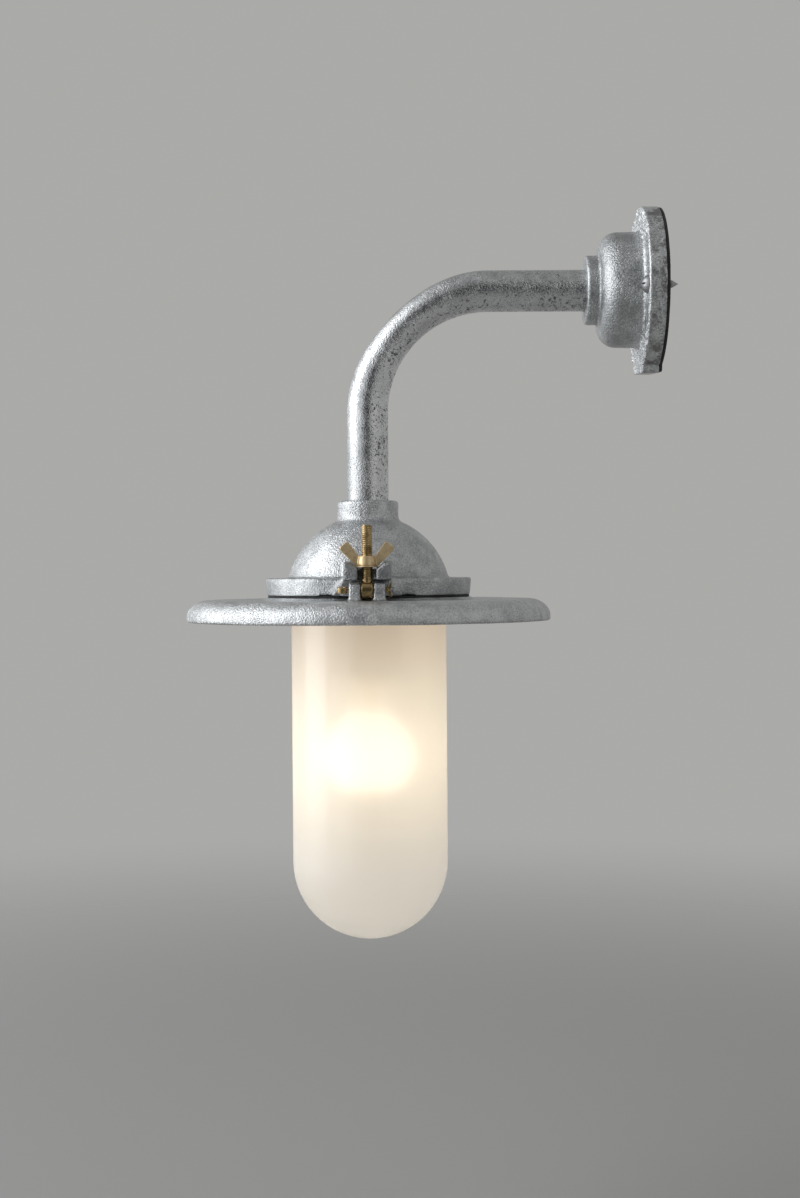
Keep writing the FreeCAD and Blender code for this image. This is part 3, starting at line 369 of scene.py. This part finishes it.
def zinc(name, dark, light, grain, depth, sandy, shine, specks, bend=None, painted_light_and_stains=False):
    """A zinc coat on a rough form.

    dark and light are the coat's tones, grain and depth the size and height of its sand, sandy how much the
    sand shows in the tone, shine the roughness of its smooth places, and specks how far the pits spread.
    bend gives the crown of the arm's bend, (x, z, radius), whose inner side is rougher, more spotted and
    painted lighter, while the hanging run's side away from the wall is rougher and painted darker.
    The last switch adds tones by place: painted light and shade on the castings, some dirt on the lugs,
    a lighter wall flange, and the dark smudges on the flange's rim.
    """
    made = Finish(name)
    x, y, z = made.parts(made.place)
    # The coat gets darker and a little more pitted towards the wall.
    toward_wall = made.step(x, *TOWARD_WALL)
    clouds = made.noise(made.place, CLOUD, detail=4, roughness=0.6)
    patches = made.noise(made.place, PATCH, detail=4, roughness=0.6, distortion=0.4)
    sand = made.noise(made.place, grain, detail=1.5, roughness=0.6)
    grit = made.step(sand, 0.36, 0.60)
    tone = clouds * 0.40 + patches * 0.30 + grit * sandy + (0.15 - sandy / 2) - toward_wall * 0.08
    if painted_light_and_stains:
        # Painted light on the visor's slope and painted shade on the dome's rim go into the tone; lugs and left
        # pads get a painted shade share.
        painted_tone, shaded = painted_light_and_dirt(made, x, y, z)
        tone = tone + painted_tone
    base = made.add("ShaderNodeValToRGB", {"stops": [(0.34, dark), (0.66, light)]}, {0: tone})
    if painted_light_and_stains:
        # Painted shade, with some dirt on the lugs, pulls the lugs and the left pads toward a dark grey.
        base = made.mix(shaded, base, SHADED)
        blotches = made.step(made.noise(made.place, BLOTCH, detail=5, roughness=0.7), 0.48, 0.60)
        base = made.mix(blotches * made.step(x, *FLANGE_FACE) * 0.75, base, SMUDGE)
    crowd = made.noise(made.place, CROWD, roughness=0.6) * 0.20 + toward_wall * 0.02 + specks
    rough = made.step(patches, 0.3, 0.75) * 0.08 + grit * 0.10 + shine
    if bend:
        inner = inner_side(made, x, z, *bend)
        hanging = 1 - made.step(z, *HANGING)
        outer = hanging * made.step(LAMP_X - x, *OUTWARD)
        crowd = crowd + inner * 0.08 + hanging * 0.02
        rough = rough + inner * 0.10 + outer * 0.14
        # Painted light on the inner side of the bend and runs, painted shade on the hanging run's side away
        # from the wall.
        base = made.mix(inner * 0.35, base, INNER_PAINTED_LIGHT)
        base = made.mix(outer * 0.6, base, OUTER_PAINTED_SHADE)
    spots = made.noise(made.place, SPOT, roughness=0.62, distortion=1.2)
    pits = 1 - made.step(spots, crowd - 0.03, crowd + 0.02)
    uneven = made.step(made.noise(made.place, UNEVEN, detail=2), 0.42, 0.62) * 0.5 + 0.5
    return made.close({
        "Base Color": made.mix(pits * 0.85, base, PIT),
        "Metallic": 1 - pits * 0.7,
        "Roughness": rough,
        "Normal": made.bump(sand * uneven + patches * 0.3 - pits * 0.25, depth),
    })


def painted_light_and_dirt(made, x, y, z):
    """What is added to the tone of a casting, and how far it is shaded.

    Painted shade darkens the dome's rim and painted light lightens the visor's slope, the wall flange is
    lighter, and the lugs and the left pads are pulled toward a painted shade, the lugs with some dirt as well.
    """
    left = LAMP_X - x
    beside, out = abs(x - LAMP_X), abs(y)
    lugs = (1 - made.step(beside, *LUG_WIDTH)) * made.step(out, *LUG_DEPTH) * made.step(z, *LUG_FOOT)
    slope = 1 - made.step(z, *VISOR_SLOPE)
    rim = made.step(z, *RIM_FOOT) * (1 - made.step(z, *RIM_TOP))
    flange = made.step(x, *FLANGE)
    pads = made.step(left, *LUG_WIDTH) * (1 - made.step(left, *PAD_WIDTH))
    pads = pads * made.step(out, *PAD_DEPTH) * made.step(z, *RIM_FOOT)
    # Painted light on the visor's slope, painted shade on the rim, a lighter flange, and painted shade on lugs
    # and left pads.
    return slope * 0.07 - rim * 0.07 + flange * 0.10, lugs * 0.55 + pads * 0.45


def inner_side(made, x, z, bend_x, bend_z, bend_radius):
    """1 on the inner side of the arm's bend and of the straight runs on from it, 0 on the outer side."""
    apart = made.smaller(x - bend_x, 0.0)
    above = made.larger(z - bend_z, 0.0)
    return made.step(bend_radius - (apart * apart + above * above) ** 0.5, *BEND_INSIDE)


BEND_RADIUS = 78.8 * MM
FINISHES = {
    "zinc_casting": zinc(
        "zinc_casting", dark=(0.38, 0.392, 0.40), light=(0.74, 0.752, 0.76), grain=1.0 * MM, depth=0.85 * MM,
        sandy=0.18, shine=0.30, specks=0.165, painted_light_and_stains=True),
    "zinc_pipe": zinc(
        "zinc_pipe", dark=(0.46, 0.47, 0.478), light=(0.88, 0.89, 0.898), grain=1.1 * MM, depth=0.45 * MM,
        sandy=0.14, shine=0.15, specks=0.225, bend=(LAMP_X + BEND_RADIUS, -BEND_RADIUS, BEND_RADIUS)),
    "zinc_steel": zinc(
        "zinc_steel", dark=(0.34, 0.345, 0.35), light=(0.58, 0.585, 0.59), grain=0.6 * MM, depth=0.08 * MM,
        sandy=0.1, shine=0.28, specks=0.18),
}
print("zinc finishes:", len(FINISHES))

# %% [markdown]
# ## Aged brass and plain materials
# The closing hardware is brass that has stood outdoors: the drawn bolts are brown, with painted shade, and the
# cast wing nuts paler and duller, with painted light. The rest is rubber, porcelain, cable covering and the
# dark insulator of the lamp.

# %% The other finishes
# The brass changes from drawn to cast at SHANK, away from the bolt's axis, and above NUT_FOOT, up Z.
BOLT_CIRCLE = 74.5 * MM
SHANK = (3.5 * MM, 4.2 * MM)
NUT_FOOT = (-182 * MM, -180 * MM)
FILM, BRASS_GRAIN, BRASS_RELIEF = 5 * MM, 0.5 * MM, 0.05 * MM
# The drawn brass is darker as painted shade over its brown tarnish, and the cast brass paler as painted light.
DRAWN_CLEAN_AND_SHADE, DRAWN_BROWN_AND_SHADE = colour(0.54, 0.40, 0.20), colour(0.20, 0.13, 0.055)
CAST_CLEAN_AND_LIGHT, CAST_BROWN_AND_LIGHT = colour(0.88, 0.70, 0.42), colour(0.54, 0.39, 0.21)


def aged_brass():
    """Drawn bolts: brown, smooth, with painted shade. Cast nuts and their wings: paler and duller, with painted
    light.
    """
    made = Finish("brass")
    film = made.noise(made.place, FILM, detail=5, roughness=0.65)
    grain = made.noise(made.place, BRASS_GRAIN, roughness=0.6)
    tarnish = made.step(film + grain * 0.2, 0.45, 0.80)
    x, y, z = made.parts(made.place)
    off_bolt = ((x - LAMP_X) ** 2 + (abs(y) - BOLT_CIRCLE) ** 2) ** 0.5
    cast = made.step(off_bolt, *SHANK) * made.step(z, *NUT_FOOT)
    # The bolts' colours carry painted shade and the nuts' colours painted light, over the real tarnish.
    drawn_brass_and_shade = made.mix(tarnish, DRAWN_CLEAN_AND_SHADE, DRAWN_BROWN_AND_SHADE)
    cast_brass_and_light = made.mix(tarnish, CAST_CLEAN_AND_LIGHT, CAST_BROWN_AND_LIGHT)
    return made.close({
        "Base Color": made.mix(cast, drawn_brass_and_shade, cast_brass_and_light),
        "Metallic": 1 - cast * 0.35,
        "Roughness": tarnish * 0.2 + grain * 0.1 + cast * 0.18 + 0.13,
        "Normal": made.bump(grain + film, BRASS_RELIEF),
    })


def plain_finish(name, low, high, size, metal, rough, depth):
    """A finish with two close tones in clouds of this size, and a fine grain between two roughnesses."""
    made = Finish(name)
    clouds = made.noise(made.place, size, detail=4, roughness=0.6)
    grain = made.noise(made.place, size / GRAINS_PER_CLOUD, detail=2)
    smoothest, roughest = rough
    return made.close({
        "Base Color": made.mix(made.step(clouds, 0.35, 0.65), colour(*low), colour(*high)),
        "Metallic": metal,
        "Roughness": grain * (roughest - smoothest) + smoothest,
        "Normal": made.bump(grain, depth),
    })


GRAINS_PER_CLOUD = 9
PLAIN = [
    # name, darker and lighter tone, size of the clouds, metallic, roughness, depth of the grain
    ("black_rubber", (0.012, 0.012, 0.013), (0.030, 0.030, 0.031), 6 * MM, 0, (0.55, 0.85), 0.04 * MM),
    ("porcelain", (0.72, 0.71, 0.67), (0.80, 0.79, 0.76), 14 * MM, 0, (0.12, 0.25), 0.01 * MM),
    ("core_insulation", (0.06, 0.06, 0.065), (0.10, 0.10, 0.105), 9 * MM, 0, (0.4, 0.6), 0.01 * MM),
    ("cap_aluminium", (0.62, 0.62, 0.61), (0.74, 0.74, 0.73), 8 * MM, 1, (0.22, 0.4), 0.01 * MM),
    ("dark_insulator", (0.02, 0.018, 0.018), (0.04, 0.035, 0.035), 6 * MM, 0, (0.2, 0.45), 0.01 * MM),
    ("solder", (0.42, 0.42, 0.43), (0.56, 0.56, 0.57), 4 * MM, 1, (0.3, 0.5), 0.02 * MM),
]
FINISHES["brass"] = aged_brass()
for plain_name, *plain_values in PLAIN:
    FINISHES[plain_name] = plain_finish(plain_name, *plain_values)
print("finishes so far:", ", ".join(FINISHES))

# %% [markdown]
# ## The frosted glass and the glowing lamp
# The well glass is acid-frosted: light goes through it, but is scattered on the way, so the lamp shows as a
# soft bright core with a warm halo. A little over half of the wall is a rough refraction, which keeps the core
# where the lamp is. The rest lets the light through diffusely or throws it back, which spreads it over the
# whole wall. The glass also carries a painted glow of its own: a warm painted halo at the lamp's height and a
# painted warm tone elsewhere, warmer towards the top. A thin share of gloss on top shows the window as a
# streak. The lamp is a plain glow, brightest at its middle.

# %% The glass finishes
# Levels are along Z, and reaches are how far up and down from them.
HALO_LEVEL, HALO_REACH = -297 * MM, (0, 92 * MM)
CORE_LEVEL, CORE_REACH = -298 * MM, (18 * MM, 33 * MM)
# The glass's painted glow: a warm tone below, a warmer one above, and a painted halo near the lamp.
PAINTED_GLOW_RISE = (-380 * MM, -220 * MM)
PAINTED_GLOW_BELOW, PAINTED_GLOW_ABOVE = colour(0.60, 0.55, 0.49), colour(0.74, 0.57, 0.40)
HALO, CORE, CORE_EDGE = colour(1.0, 0.84, 0.62), colour(1.0, 0.91, 0.78), colour(0.30, 0.24, 0.16)
DIFFUSE_SHARE, THROWN_BACK, GLOSS_SHARE = 0.42, 0.5, 0.055
FROST_CLOUD, LAMP_CLOUD = 30 * MM, 20 * MM


def frosted_glass():
    made = Finish("frosted_glass")
    level = made.parts(made.place)[2]
    clouds = made.noise(made.place, FROST_CLOUD)
    near_lamp = 1 - made.step(abs(level - HALO_LEVEL), *HALO_REACH)
    painted_glow = made.mix(made.step(level, *PAINTED_GLOW_RISE), PAINTED_GLOW_BELOW, PAINTED_GLOW_ABOVE)
    frost = made.add("ShaderNodeBsdfPrincipled", {}, {
        "Base Color": colour(0.95, 0.94, 0.91),
        "Roughness": clouds * 0.06 + 0.31,
        "IOR": 1.45,
        "Transmission Weight": 1.0,
        # Painted glow: the glass shines faintly by itself, with a painted halo at the lamp's height.
        "Emission Color": made.mix(near_lamp, painted_glow, HALO),
        "Emission Strength": 0.34,
    })
    through = made.add("ShaderNodeBsdfTranslucent", {}, {"Color": colour(0.90, 0.88, 0.84)})
    back = made.add("ShaderNodeBsdfDiffuse", {}, {"Color": colour(0.86, 0.85, 0.83)})
    gloss = made.add("ShaderNodeBsdfGlossy", {}, {"Color": colour(1, 1, 1), "Roughness": 0.22})
    wall = made.blend(DIFFUSE_SHARE, frost, made.blend(THROWN_BACK, through, back))
    return made.output(made.blend(GLOSS_SHARE, wall, gloss))


def glowing_glass():
    made = Finish("lamp_glass")
    level = made.parts(made.place)[2]
    core = 1 - made.step(abs(level - CORE_LEVEL), *CORE_REACH)
    return made.close({
        "Base Color": colour(0.9, 0.88, 0.82),
        "Roughness": made.noise(made.place, LAMP_CLOUD, detail=2) * 0.1 + 0.2,
        "Emission Color": made.mix(core, CORE_EDGE, CORE),
        "Emission Strength": 1.45,
    })


FINISHES["frosted_glass"] = frosted_glass()
FINISHES["lamp_glass"] = glowing_glass()
print("finishes:", len(FINISHES))

# %% [markdown]
# ## From a CAD solid to a casting
# A CAD solid has the right shape and place, but its edges are perfect and its faces are a few large triangles.
# Iron from a sand mould has soft edges and gently uneven faces. So a copy of the solid gets an even skin of
# small squares, which is smoothed a little. A Geometry Nodes tree then moves that skin in and out: long swells
# as the mould leaves them and a fine grain as the sand leaves it.

# %% Tools for skins
WELD = 0.002 * MM
SMOOTH_FACTOR = 0.5

# How high each noise is where the skin stays in its place.
SWELL_REST, GRAIN_REST, LUMP_REST = 0.5, 0.6, 0.55

# The raw face of the flange: how fast it starts along X, which way it faces, and between which heights over and
# under the arm's axis its lumps grow from RAW_INNER of their height to all of it.
RAW_EDGE = 1 * MM
RAW_FACING = (-0.5, -0.9)
RAW_OUTER = (20 * MM, 34 * MM)
RAW_INNER = 0.25


def new_tree(name, inputs):
    """A Geometry Nodes tree with these named numbers and a finish as inputs, as a board and its wires."""
    tree = bpy.data.node_groups.new(name, "GeometryNodeTree")
    face = tree.interface
    face.new_socket("Geometry", in_out="INPUT", socket_type="NodeSocketGeometry")
    for input_name in inputs:
        face.new_socket(input_name, in_out="INPUT", socket_type="NodeSocketFloat")
    face.new_socket("Finish", in_out="INPUT", socket_type="NodeSocketMaterial")
    face.new_socket("Geometry", in_out="OUTPUT", socket_type="NodeSocketGeometry")
    board = Board(tree)
    start = tree.nodes.new("NodeGroupInput")
    wires = {output.name: Wire(board, output) for output in start.outputs if output.name}
    return board, wires


def end_tree(board, geometry, material):
    """Ends a tree as the export needs it: instances made real, and the material set."""
    real = board.add("GeometryNodeRealizeInstances", {}, {0: geometry})
    painted = board.add("GeometryNodeSetMaterial", {}, {"Geometry": real, "Material": material})
    board.add("NodeGroupOutput", {}, {0: painted})
    return board.tree


def casting_tree():
    """Moves a skin along its normals by swells, by grain and, on the flange's untouched face, by raw lumps."""
    board, wire = new_tree("casting skin", [
        "Swell Size", "Swell Height", "Grain Size", "Grain Height", "Raw From", "Raw Size", "Raw Height",
    ])
    place = board.add("GeometryNodeInputPosition")
    normal = board.add("GeometryNodeInputNormal")
    swell = board.noise(place, wire["Swell Size"], detail=1)
    grain = board.noise(place, wire["Grain Size"], detail=2)
    lumps = board.noise(place, wire["Raw Size"])
    x, _, z = board.parts(place)
    facing = board.parts(normal)[0]
    raw = board.step(x, wire["Raw From"], wire["Raw From"] + RAW_EDGE) * board.step(facing, *RAW_FACING)
    outer = board.step(abs(z), *RAW_OUTER) * (1 - RAW_INNER) + RAW_INNER
    height = (swell - SWELL_REST) * wire["Swell Height"] + (grain - GRAIN_REST) * wire["Grain Height"]
    height = height + (lumps - LUMP_REST) * wire["Raw Height"] * raw * outer
    offset = board.add("ShaderNodeVectorMath", {"operation": "SCALE"}, {0: normal, "Scale": height})
    moved = board.add("GeometryNodeSetPosition", {}, {"Geometry": wire["Geometry"], "Offset": offset})
    return end_tree(board, moved, wire["Finish"])


def run_modifiers(piece):
    """Keeps what the modifiers make as the piece's plain mesh, and removes them."""
    view = bpy.context.evaluated_depsgraph_get()
    mesh = bpy.data.meshes.new_from_object(piece.evaluated_get(view))
    piece.modifiers.clear()
    piece.data = mesh
    mesh.shade_smooth()


def run_tree(piece, tree, values):
    """Runs a Geometry Nodes tree on a piece, with its inputs set by the sockets' identifiers."""
    modifier = piece.modifiers.new(tree.name, "NODES")
    modifier.node_group = tree
    for item in tree.interface.items_tree:
        if item.in_out == "INPUT" and item.name in values:
            modifier[item.identifier] = values[item.name]
    run_modifiers(piece)


def skinned(name, node, square, smoothing):
    """A copy of a CAD solid under an even skin of squares of this size, with its edges a little softened."""
    mesh = frame["nodes"][node].data.copy()
    mesh.materials.clear()
    form = bmesh.new()
    form.from_mesh(mesh)
    bmesh.ops.remove_doubles(form, verts=form.verts, dist=WELD)
    form.to_mesh(mesh)
    form.free()
    piece = new_object(name, mesh)
    skin = piece.modifiers.new("even skin", "REMESH")
    skin.mode = "VOXEL"
    skin.voxel_size = square
    soften = piece.modifiers.new("soft edges", "SMOOTH")
    soften.factor = SMOOTH_FACTOR
    soften.iterations = smoothing
    run_modifiers(piece)
    return piece


def melt(piece, inner_x, outer_x, least_y, rounds):
    """Rounds the shoulders of the closing pads, as molten zinc fills them: only points this far out move."""
    form = bmesh.new()
    form.from_mesh(piece.data)
    chosen = [point for point in form.verts
              if inner_x < abs(point.co.x - LAMP_X) < outer_x and abs(point.co.y) > least_y]
    axes = {"use_axis_x": True, "use_axis_y": True, "use_axis_z": True}
    for _ in range(rounds):
        bmesh.ops.smooth_vert(form, verts=chosen, factor=SMOOTH_FACTOR, **axes)
    form.to_mesh(piece.data)
    form.free()


def hand_over(piece, body, slot, *nodes):
    """Says what the piece rides on and which solids it stands for, and hides those. slot is not used."""
    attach(piece, body)
    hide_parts(*nodes)
    triangles = sum(len(face.vertices) - 2 for face in piece.data.polygons)
    print(f"{piece.name}: {triangles} triangles on {body}")


CASTING_TREE = casting_tree()


def cast_piece(name, node, body, slot, square, swell, grain, smoothing=3, raw=(0.0, 3 * MM, 0.0), pads=None):
    """A finished casting or forging over a CAD solid.

    square is the size of the skin's squares and smoothing how often it is smoothed. swell and grain are
    (size, height). raw is where along X the untouched sand face starts, and the size and height of its lumps.
    pads says which points melt rounds off, and how often: its inner_x, outer_x, least_y and rounds.
    """
    piece = skinned(name, node, square, smoothing)
    if pads:
        melt(piece, *pads)
    run_tree(piece, CASTING_TREE, {
        "Swell Size": swell[0],
        "Swell Height": swell[1],
        "Grain Size": grain[0],
        "Grain Height": grain[1],
        "Raw From": raw[0],
        "Raw Size": raw[1],
        "Raw Height": raw[2],
        "Finish": FINISHES[slot],
    })
    hand_over(piece, body, slot, node)


# %% [markdown]
# ## The castings and the arm
# The wall plate, the dome cover and the visor are sand castings. The flange was left roughest, because nobody
# touches it, and the visor smoothest. The arm is a drawn pipe, bent cold, so it has only the faint waves of its
# zinc coat.

# %% Cast the large pieces
RAW_FLANGE = (-15 * MM, 3.2 * MM, 5.0 * MM)
CLOSING_PADS = (15.5 * MM, 30 * MM, 50 * MM, 24)
cast_piece(
    "cast_wall_plate", "wall_plate", "root", "zinc_casting", square=0.7 * MM,
    swell=(18 * MM, 0.35 * MM), grain=(2.0 * MM, 0.12 * MM), raw=RAW_FLANGE)
cast_piece(
    "cast_dome_cover", "dome_cover", "root", "zinc_casting", square=0.9 * MM,
    swell=(24 * MM, 0.3 * MM), grain=(2.2 * MM, 0.16 * MM), smoothing=4, pads=CLOSING_PADS)
cast_piece(
    "cast_visor", "visor", "glass_carrier", "zinc_casting", square=1.1 * MM,
    swell=(30 * MM, 0.3 * MM), grain=(2.6 * MM, 0.14 * MM))
cast_piece(
    "bent_arm", "bracket_arm", "root", "zinc_pipe", square=0.8 * MM,
    swell=(16 * MM, 0.18 * MM), grain=(3 * MM, 0.08 * MM))

# %% [markdown]
# ## Gasket and seal
# The gasket squeezes out a little between flange and wall, and the dome's seal shows only as a dark line.

# %% Press the gasket and the seal
cast_piece(
    "wall_gasket_rubber", "wall_gasket", "root", "black_rubber", square=0.6 * MM,
    swell=(9 * MM, 0.2 * MM), grain=(2 * MM, 0.05 * MM), smoothing=2)
cast_piece(
    "dome_seal_rubber", "dome_seal", "root", "black_rubber", square=0.4 * MM,
    swell=(9 * MM, 0.05 * MM), grain=(2 * MM, 0.02 * MM), smoothing=1)

# %% [markdown]
# ## The closings
# Two brass swing bolts, at front and rear, pull the visor up against the dome. The bolt turns on a split pin
# between two ears, lies in a slotted lug and carries a washer and a wing nut. The thread is cut into the
# bolt's skin by a Geometry Nodes tree: along a helix, every point is moved in or out of the plain shank by the
# depth of a V, so the thread has a real outline.

# %% Cut the threads and set the closings
THREAD_PITCH = 1.27 * MM
THREAD_DEPTH = 0.55 * MM
THREAD_CREST = 0.7
THREAD_FOOT = 12.4 * MM
TINY = 1e-6


def thread_tree():
    """Draws a bolt's skin in and out along a helix.

    THREAD_CREST is the share of the thread's depth that stands out of the plain shank, and TINY keeps a point
    on the bolt's axis from being divided by zero.
    """
    board, wire = new_tree("thread cutter", ["Axis X", "Axis Y", "From"])
    x, y, z = board.parts(board.add("GeometryNodeInputPosition"))
    out_x = x - wire["Axis X"]
    out_y = y - wire["Axis Y"]
    turn = board.add("ShaderNodeMath", {"operation": "ARCTAN2"}, {0: out_y, 1: out_x})
    along = z / THREAD_PITCH - turn / (2 * math.pi)
    flank = abs(board.add("ShaderNodeMath", {"operation": "FRACT"}, {0: along}) * 2 - 1)
    radius = (out_x * out_x + out_y * out_y) ** 0.5
    threaded = board.step(z, wire["From"], wire["From"] + THREAD_PITCH)
    draw = (flank - THREAD_CREST) * THREAD_DEPTH * threaded / (radius + TINY)
    offset = board.add("ShaderNodeCombineXYZ", {}, {"X": out_x * draw * -1, "Y": out_y * draw * -1})
    moved = board.add("GeometryNodeSetPosition", {}, {"Geometry": wire["Geometry"], "Offset": offset})
    return end_tree(board, moved, wire["Finish"])


THREAD_TREE = thread_tree()
BRASS_SKIN = {"swell": (6 * MM, 0.12 * MM), "grain": (1.2 * MM, 0.05 * MM)}
for side in ("front", "rear"):
    bolt = skinned(f"swing_bolt_{side}_threaded", f"swing_bolt_{side}", square=0.25 * MM, smoothing=2)
    low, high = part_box(f"swing_bolt_{side}")
    run_tree(bolt, THREAD_TREE, {
        "Axis X": LAMP_X,
        "Axis Y": (low.y + high.y) / 2,
        "From": low.z + THREAD_FOOT,
        "Finish": FINISHES["brass"],
    })
    hand_over(bolt, f"bolt_{side}", "brass", f"swing_bolt_{side}")
    cast_piece(
        f"wing_nut_{side}_cast", f"wing_nut_{side}", f"nut_{side}", "brass",
        square=0.33 * MM, **BRASS_SKIN)
    cast_piece(
        f"washer_{side}_pressed", f"bolt_washer_{side}", f"washer_{side}", "brass",
        square=0.2 * MM, smoothing=1, **BRASS_SKIN)
    cast_piece(
        f"split_pin_{side}_bent", f"split_pin_{side}", "glass_carrier", "brass",
        square=0.25 * MM, smoothing=2, **BRASS_SKIN)

# %% [markdown]
# ## The well glass
# The glass is a turned form, so it is made as a lathe would: an outline with true arcs, carried round the
# lamp's axis in even steps. The outline starts and ends on the axis, which closes the form.

# %% Turn the glass
SAME_PLACE = 0.001 * MM
ARC_STEP = math.radians(6)


def rounded_outline(corners):
    """Points of an outline through corners of (radius, height, rounding), with arcs at the rounded ones."""
    points = []
    for index, (radius, height, rounding) in enumerate(corners):
        here = Vector((radius, height))
        if not rounding:
            points.append(here)
            continue
        before = (Vector(corners[index - 1][:2]) - here).normalized()
        after = (Vector(corners[index + 1][:2]) - here).normalized()
        half = before.angle(after) / 2
        reach = rounding / math.tan(half)
        centre = here + (before + after).normalized() * (rounding / math.sin(half))
        start = here + before * reach - centre
        sweep = math.pi - 2 * half
        turn = math.copysign(1, before.x * after.y - before.y * after.x) * -1
        steps = max(2, math.ceil(sweep / ARC_STEP))
        for step in range(steps + 1):
            angle = turn * sweep * step / steps
            spun = (
                start.x * math.cos(angle) - start.y * math.sin(angle),
                start.x * math.sin(angle) + start.y * math.cos(angle),
            )
            points.append(centre + Vector(spun))
    return [here for index, here in enumerate(points)
            if index == 0 or (here - points[index - 1]).length > SAME_PLACE]


def lathe(name, outline, segments):
    """A closed form turned about the lamp's axis from points of (radius, height)."""
    form = bmesh.new()
    rings = []
    for radius, height in outline:
        count = 1 if radius < SAME_PLACE else segments
        ring = []
        for index in range(count):
            angle = 2 * math.pi * index / segments
            place = (LAMP_X + radius * math.cos(angle), radius * math.sin(angle), height)
            ring.append(form.verts.new(place))
        rings.append(ring)
    for lower, upper in zip(rings, rings[1:]):
        for index in range(segments):
            after = (index + 1) % segments
            corners = [lower[index % len(lower)], lower[after % len(lower)]]
            corners += [upper[after % len(upper)], upper[index % len(upper)]]
            form.faces.new(list(dict.fromkeys(corners)))
    bmesh.ops.recalc_face_normals(form, faces=form.faces)
    mesh = bpy.data.meshes.new(name)
    form.to_mesh(mesh)
    form.free()
    mesh.shade_smooth()
    return new_object(name, mesh)


GLASS_RADIUS = 50.5 * MM
GLASS_WALL = 3.5 * MM
GLASS_EDGE = 1 * MM
GLASS_SEGMENTS = 160
rim_radius = (glass_high.x - glass_low.x) / 2
bore = GLASS_RADIUS - GLASS_WALL
rim_bottom = glass_high.z - GLASS_WALL
glass_outline = rounded_outline([
    (0, glass_low.z, 0),
    (GLASS_RADIUS, glass_low.z, GLASS_RADIUS),
    (GLASS_RADIUS, rim_bottom, GLASS_EDGE),
    (rim_radius, rim_bottom, GLASS_EDGE),
    (rim_radius, glass_high.z, GLASS_EDGE),
    (bore, glass_high.z, GLASS_EDGE),
    (bore, glass_low.z + GLASS_WALL, bore),
    (0, glass_low.z + GLASS_WALL, 0),
])
glass = lathe("well_glass_frosted", glass_outline, GLASS_SEGMENTS)
glass.data.materials.append(FINISHES["frosted_glass"])
hand_over(glass, "glass_carrier", "frosted_glass", "well_glass")

# %% [markdown]
# ## What stays as it was drawn
# The pieces inside are seldom seen, so their CAD solids stay, and only get their finish.

# %% Give the other solids their finish
slots = {part["node"]: part["material_slot"] for part in frame["record"]["subparts"]}
for name, node in frame["nodes"].items():
    if node.hide_render:
        continue
    finish = FINISHES[slots[name]]
    for slot in node.material_slots:
        slot.material = finish
print("solids with a new finish:", sum(not node.hide_render for node in frame["nodes"].values()))

# %% [markdown]
# ## Measure and finish
# The dressed object must stay inside the box of the CAD model, so the script prints how far it passes that box
# on each side.

# %% Print how far past the CAD box the object reaches
low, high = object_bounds()
past = [round(max(0, edge) / MM, 2) for edge in list(cad_low - low) + list(high - cad_high)]
print("over the CAD box by", past, "mm")
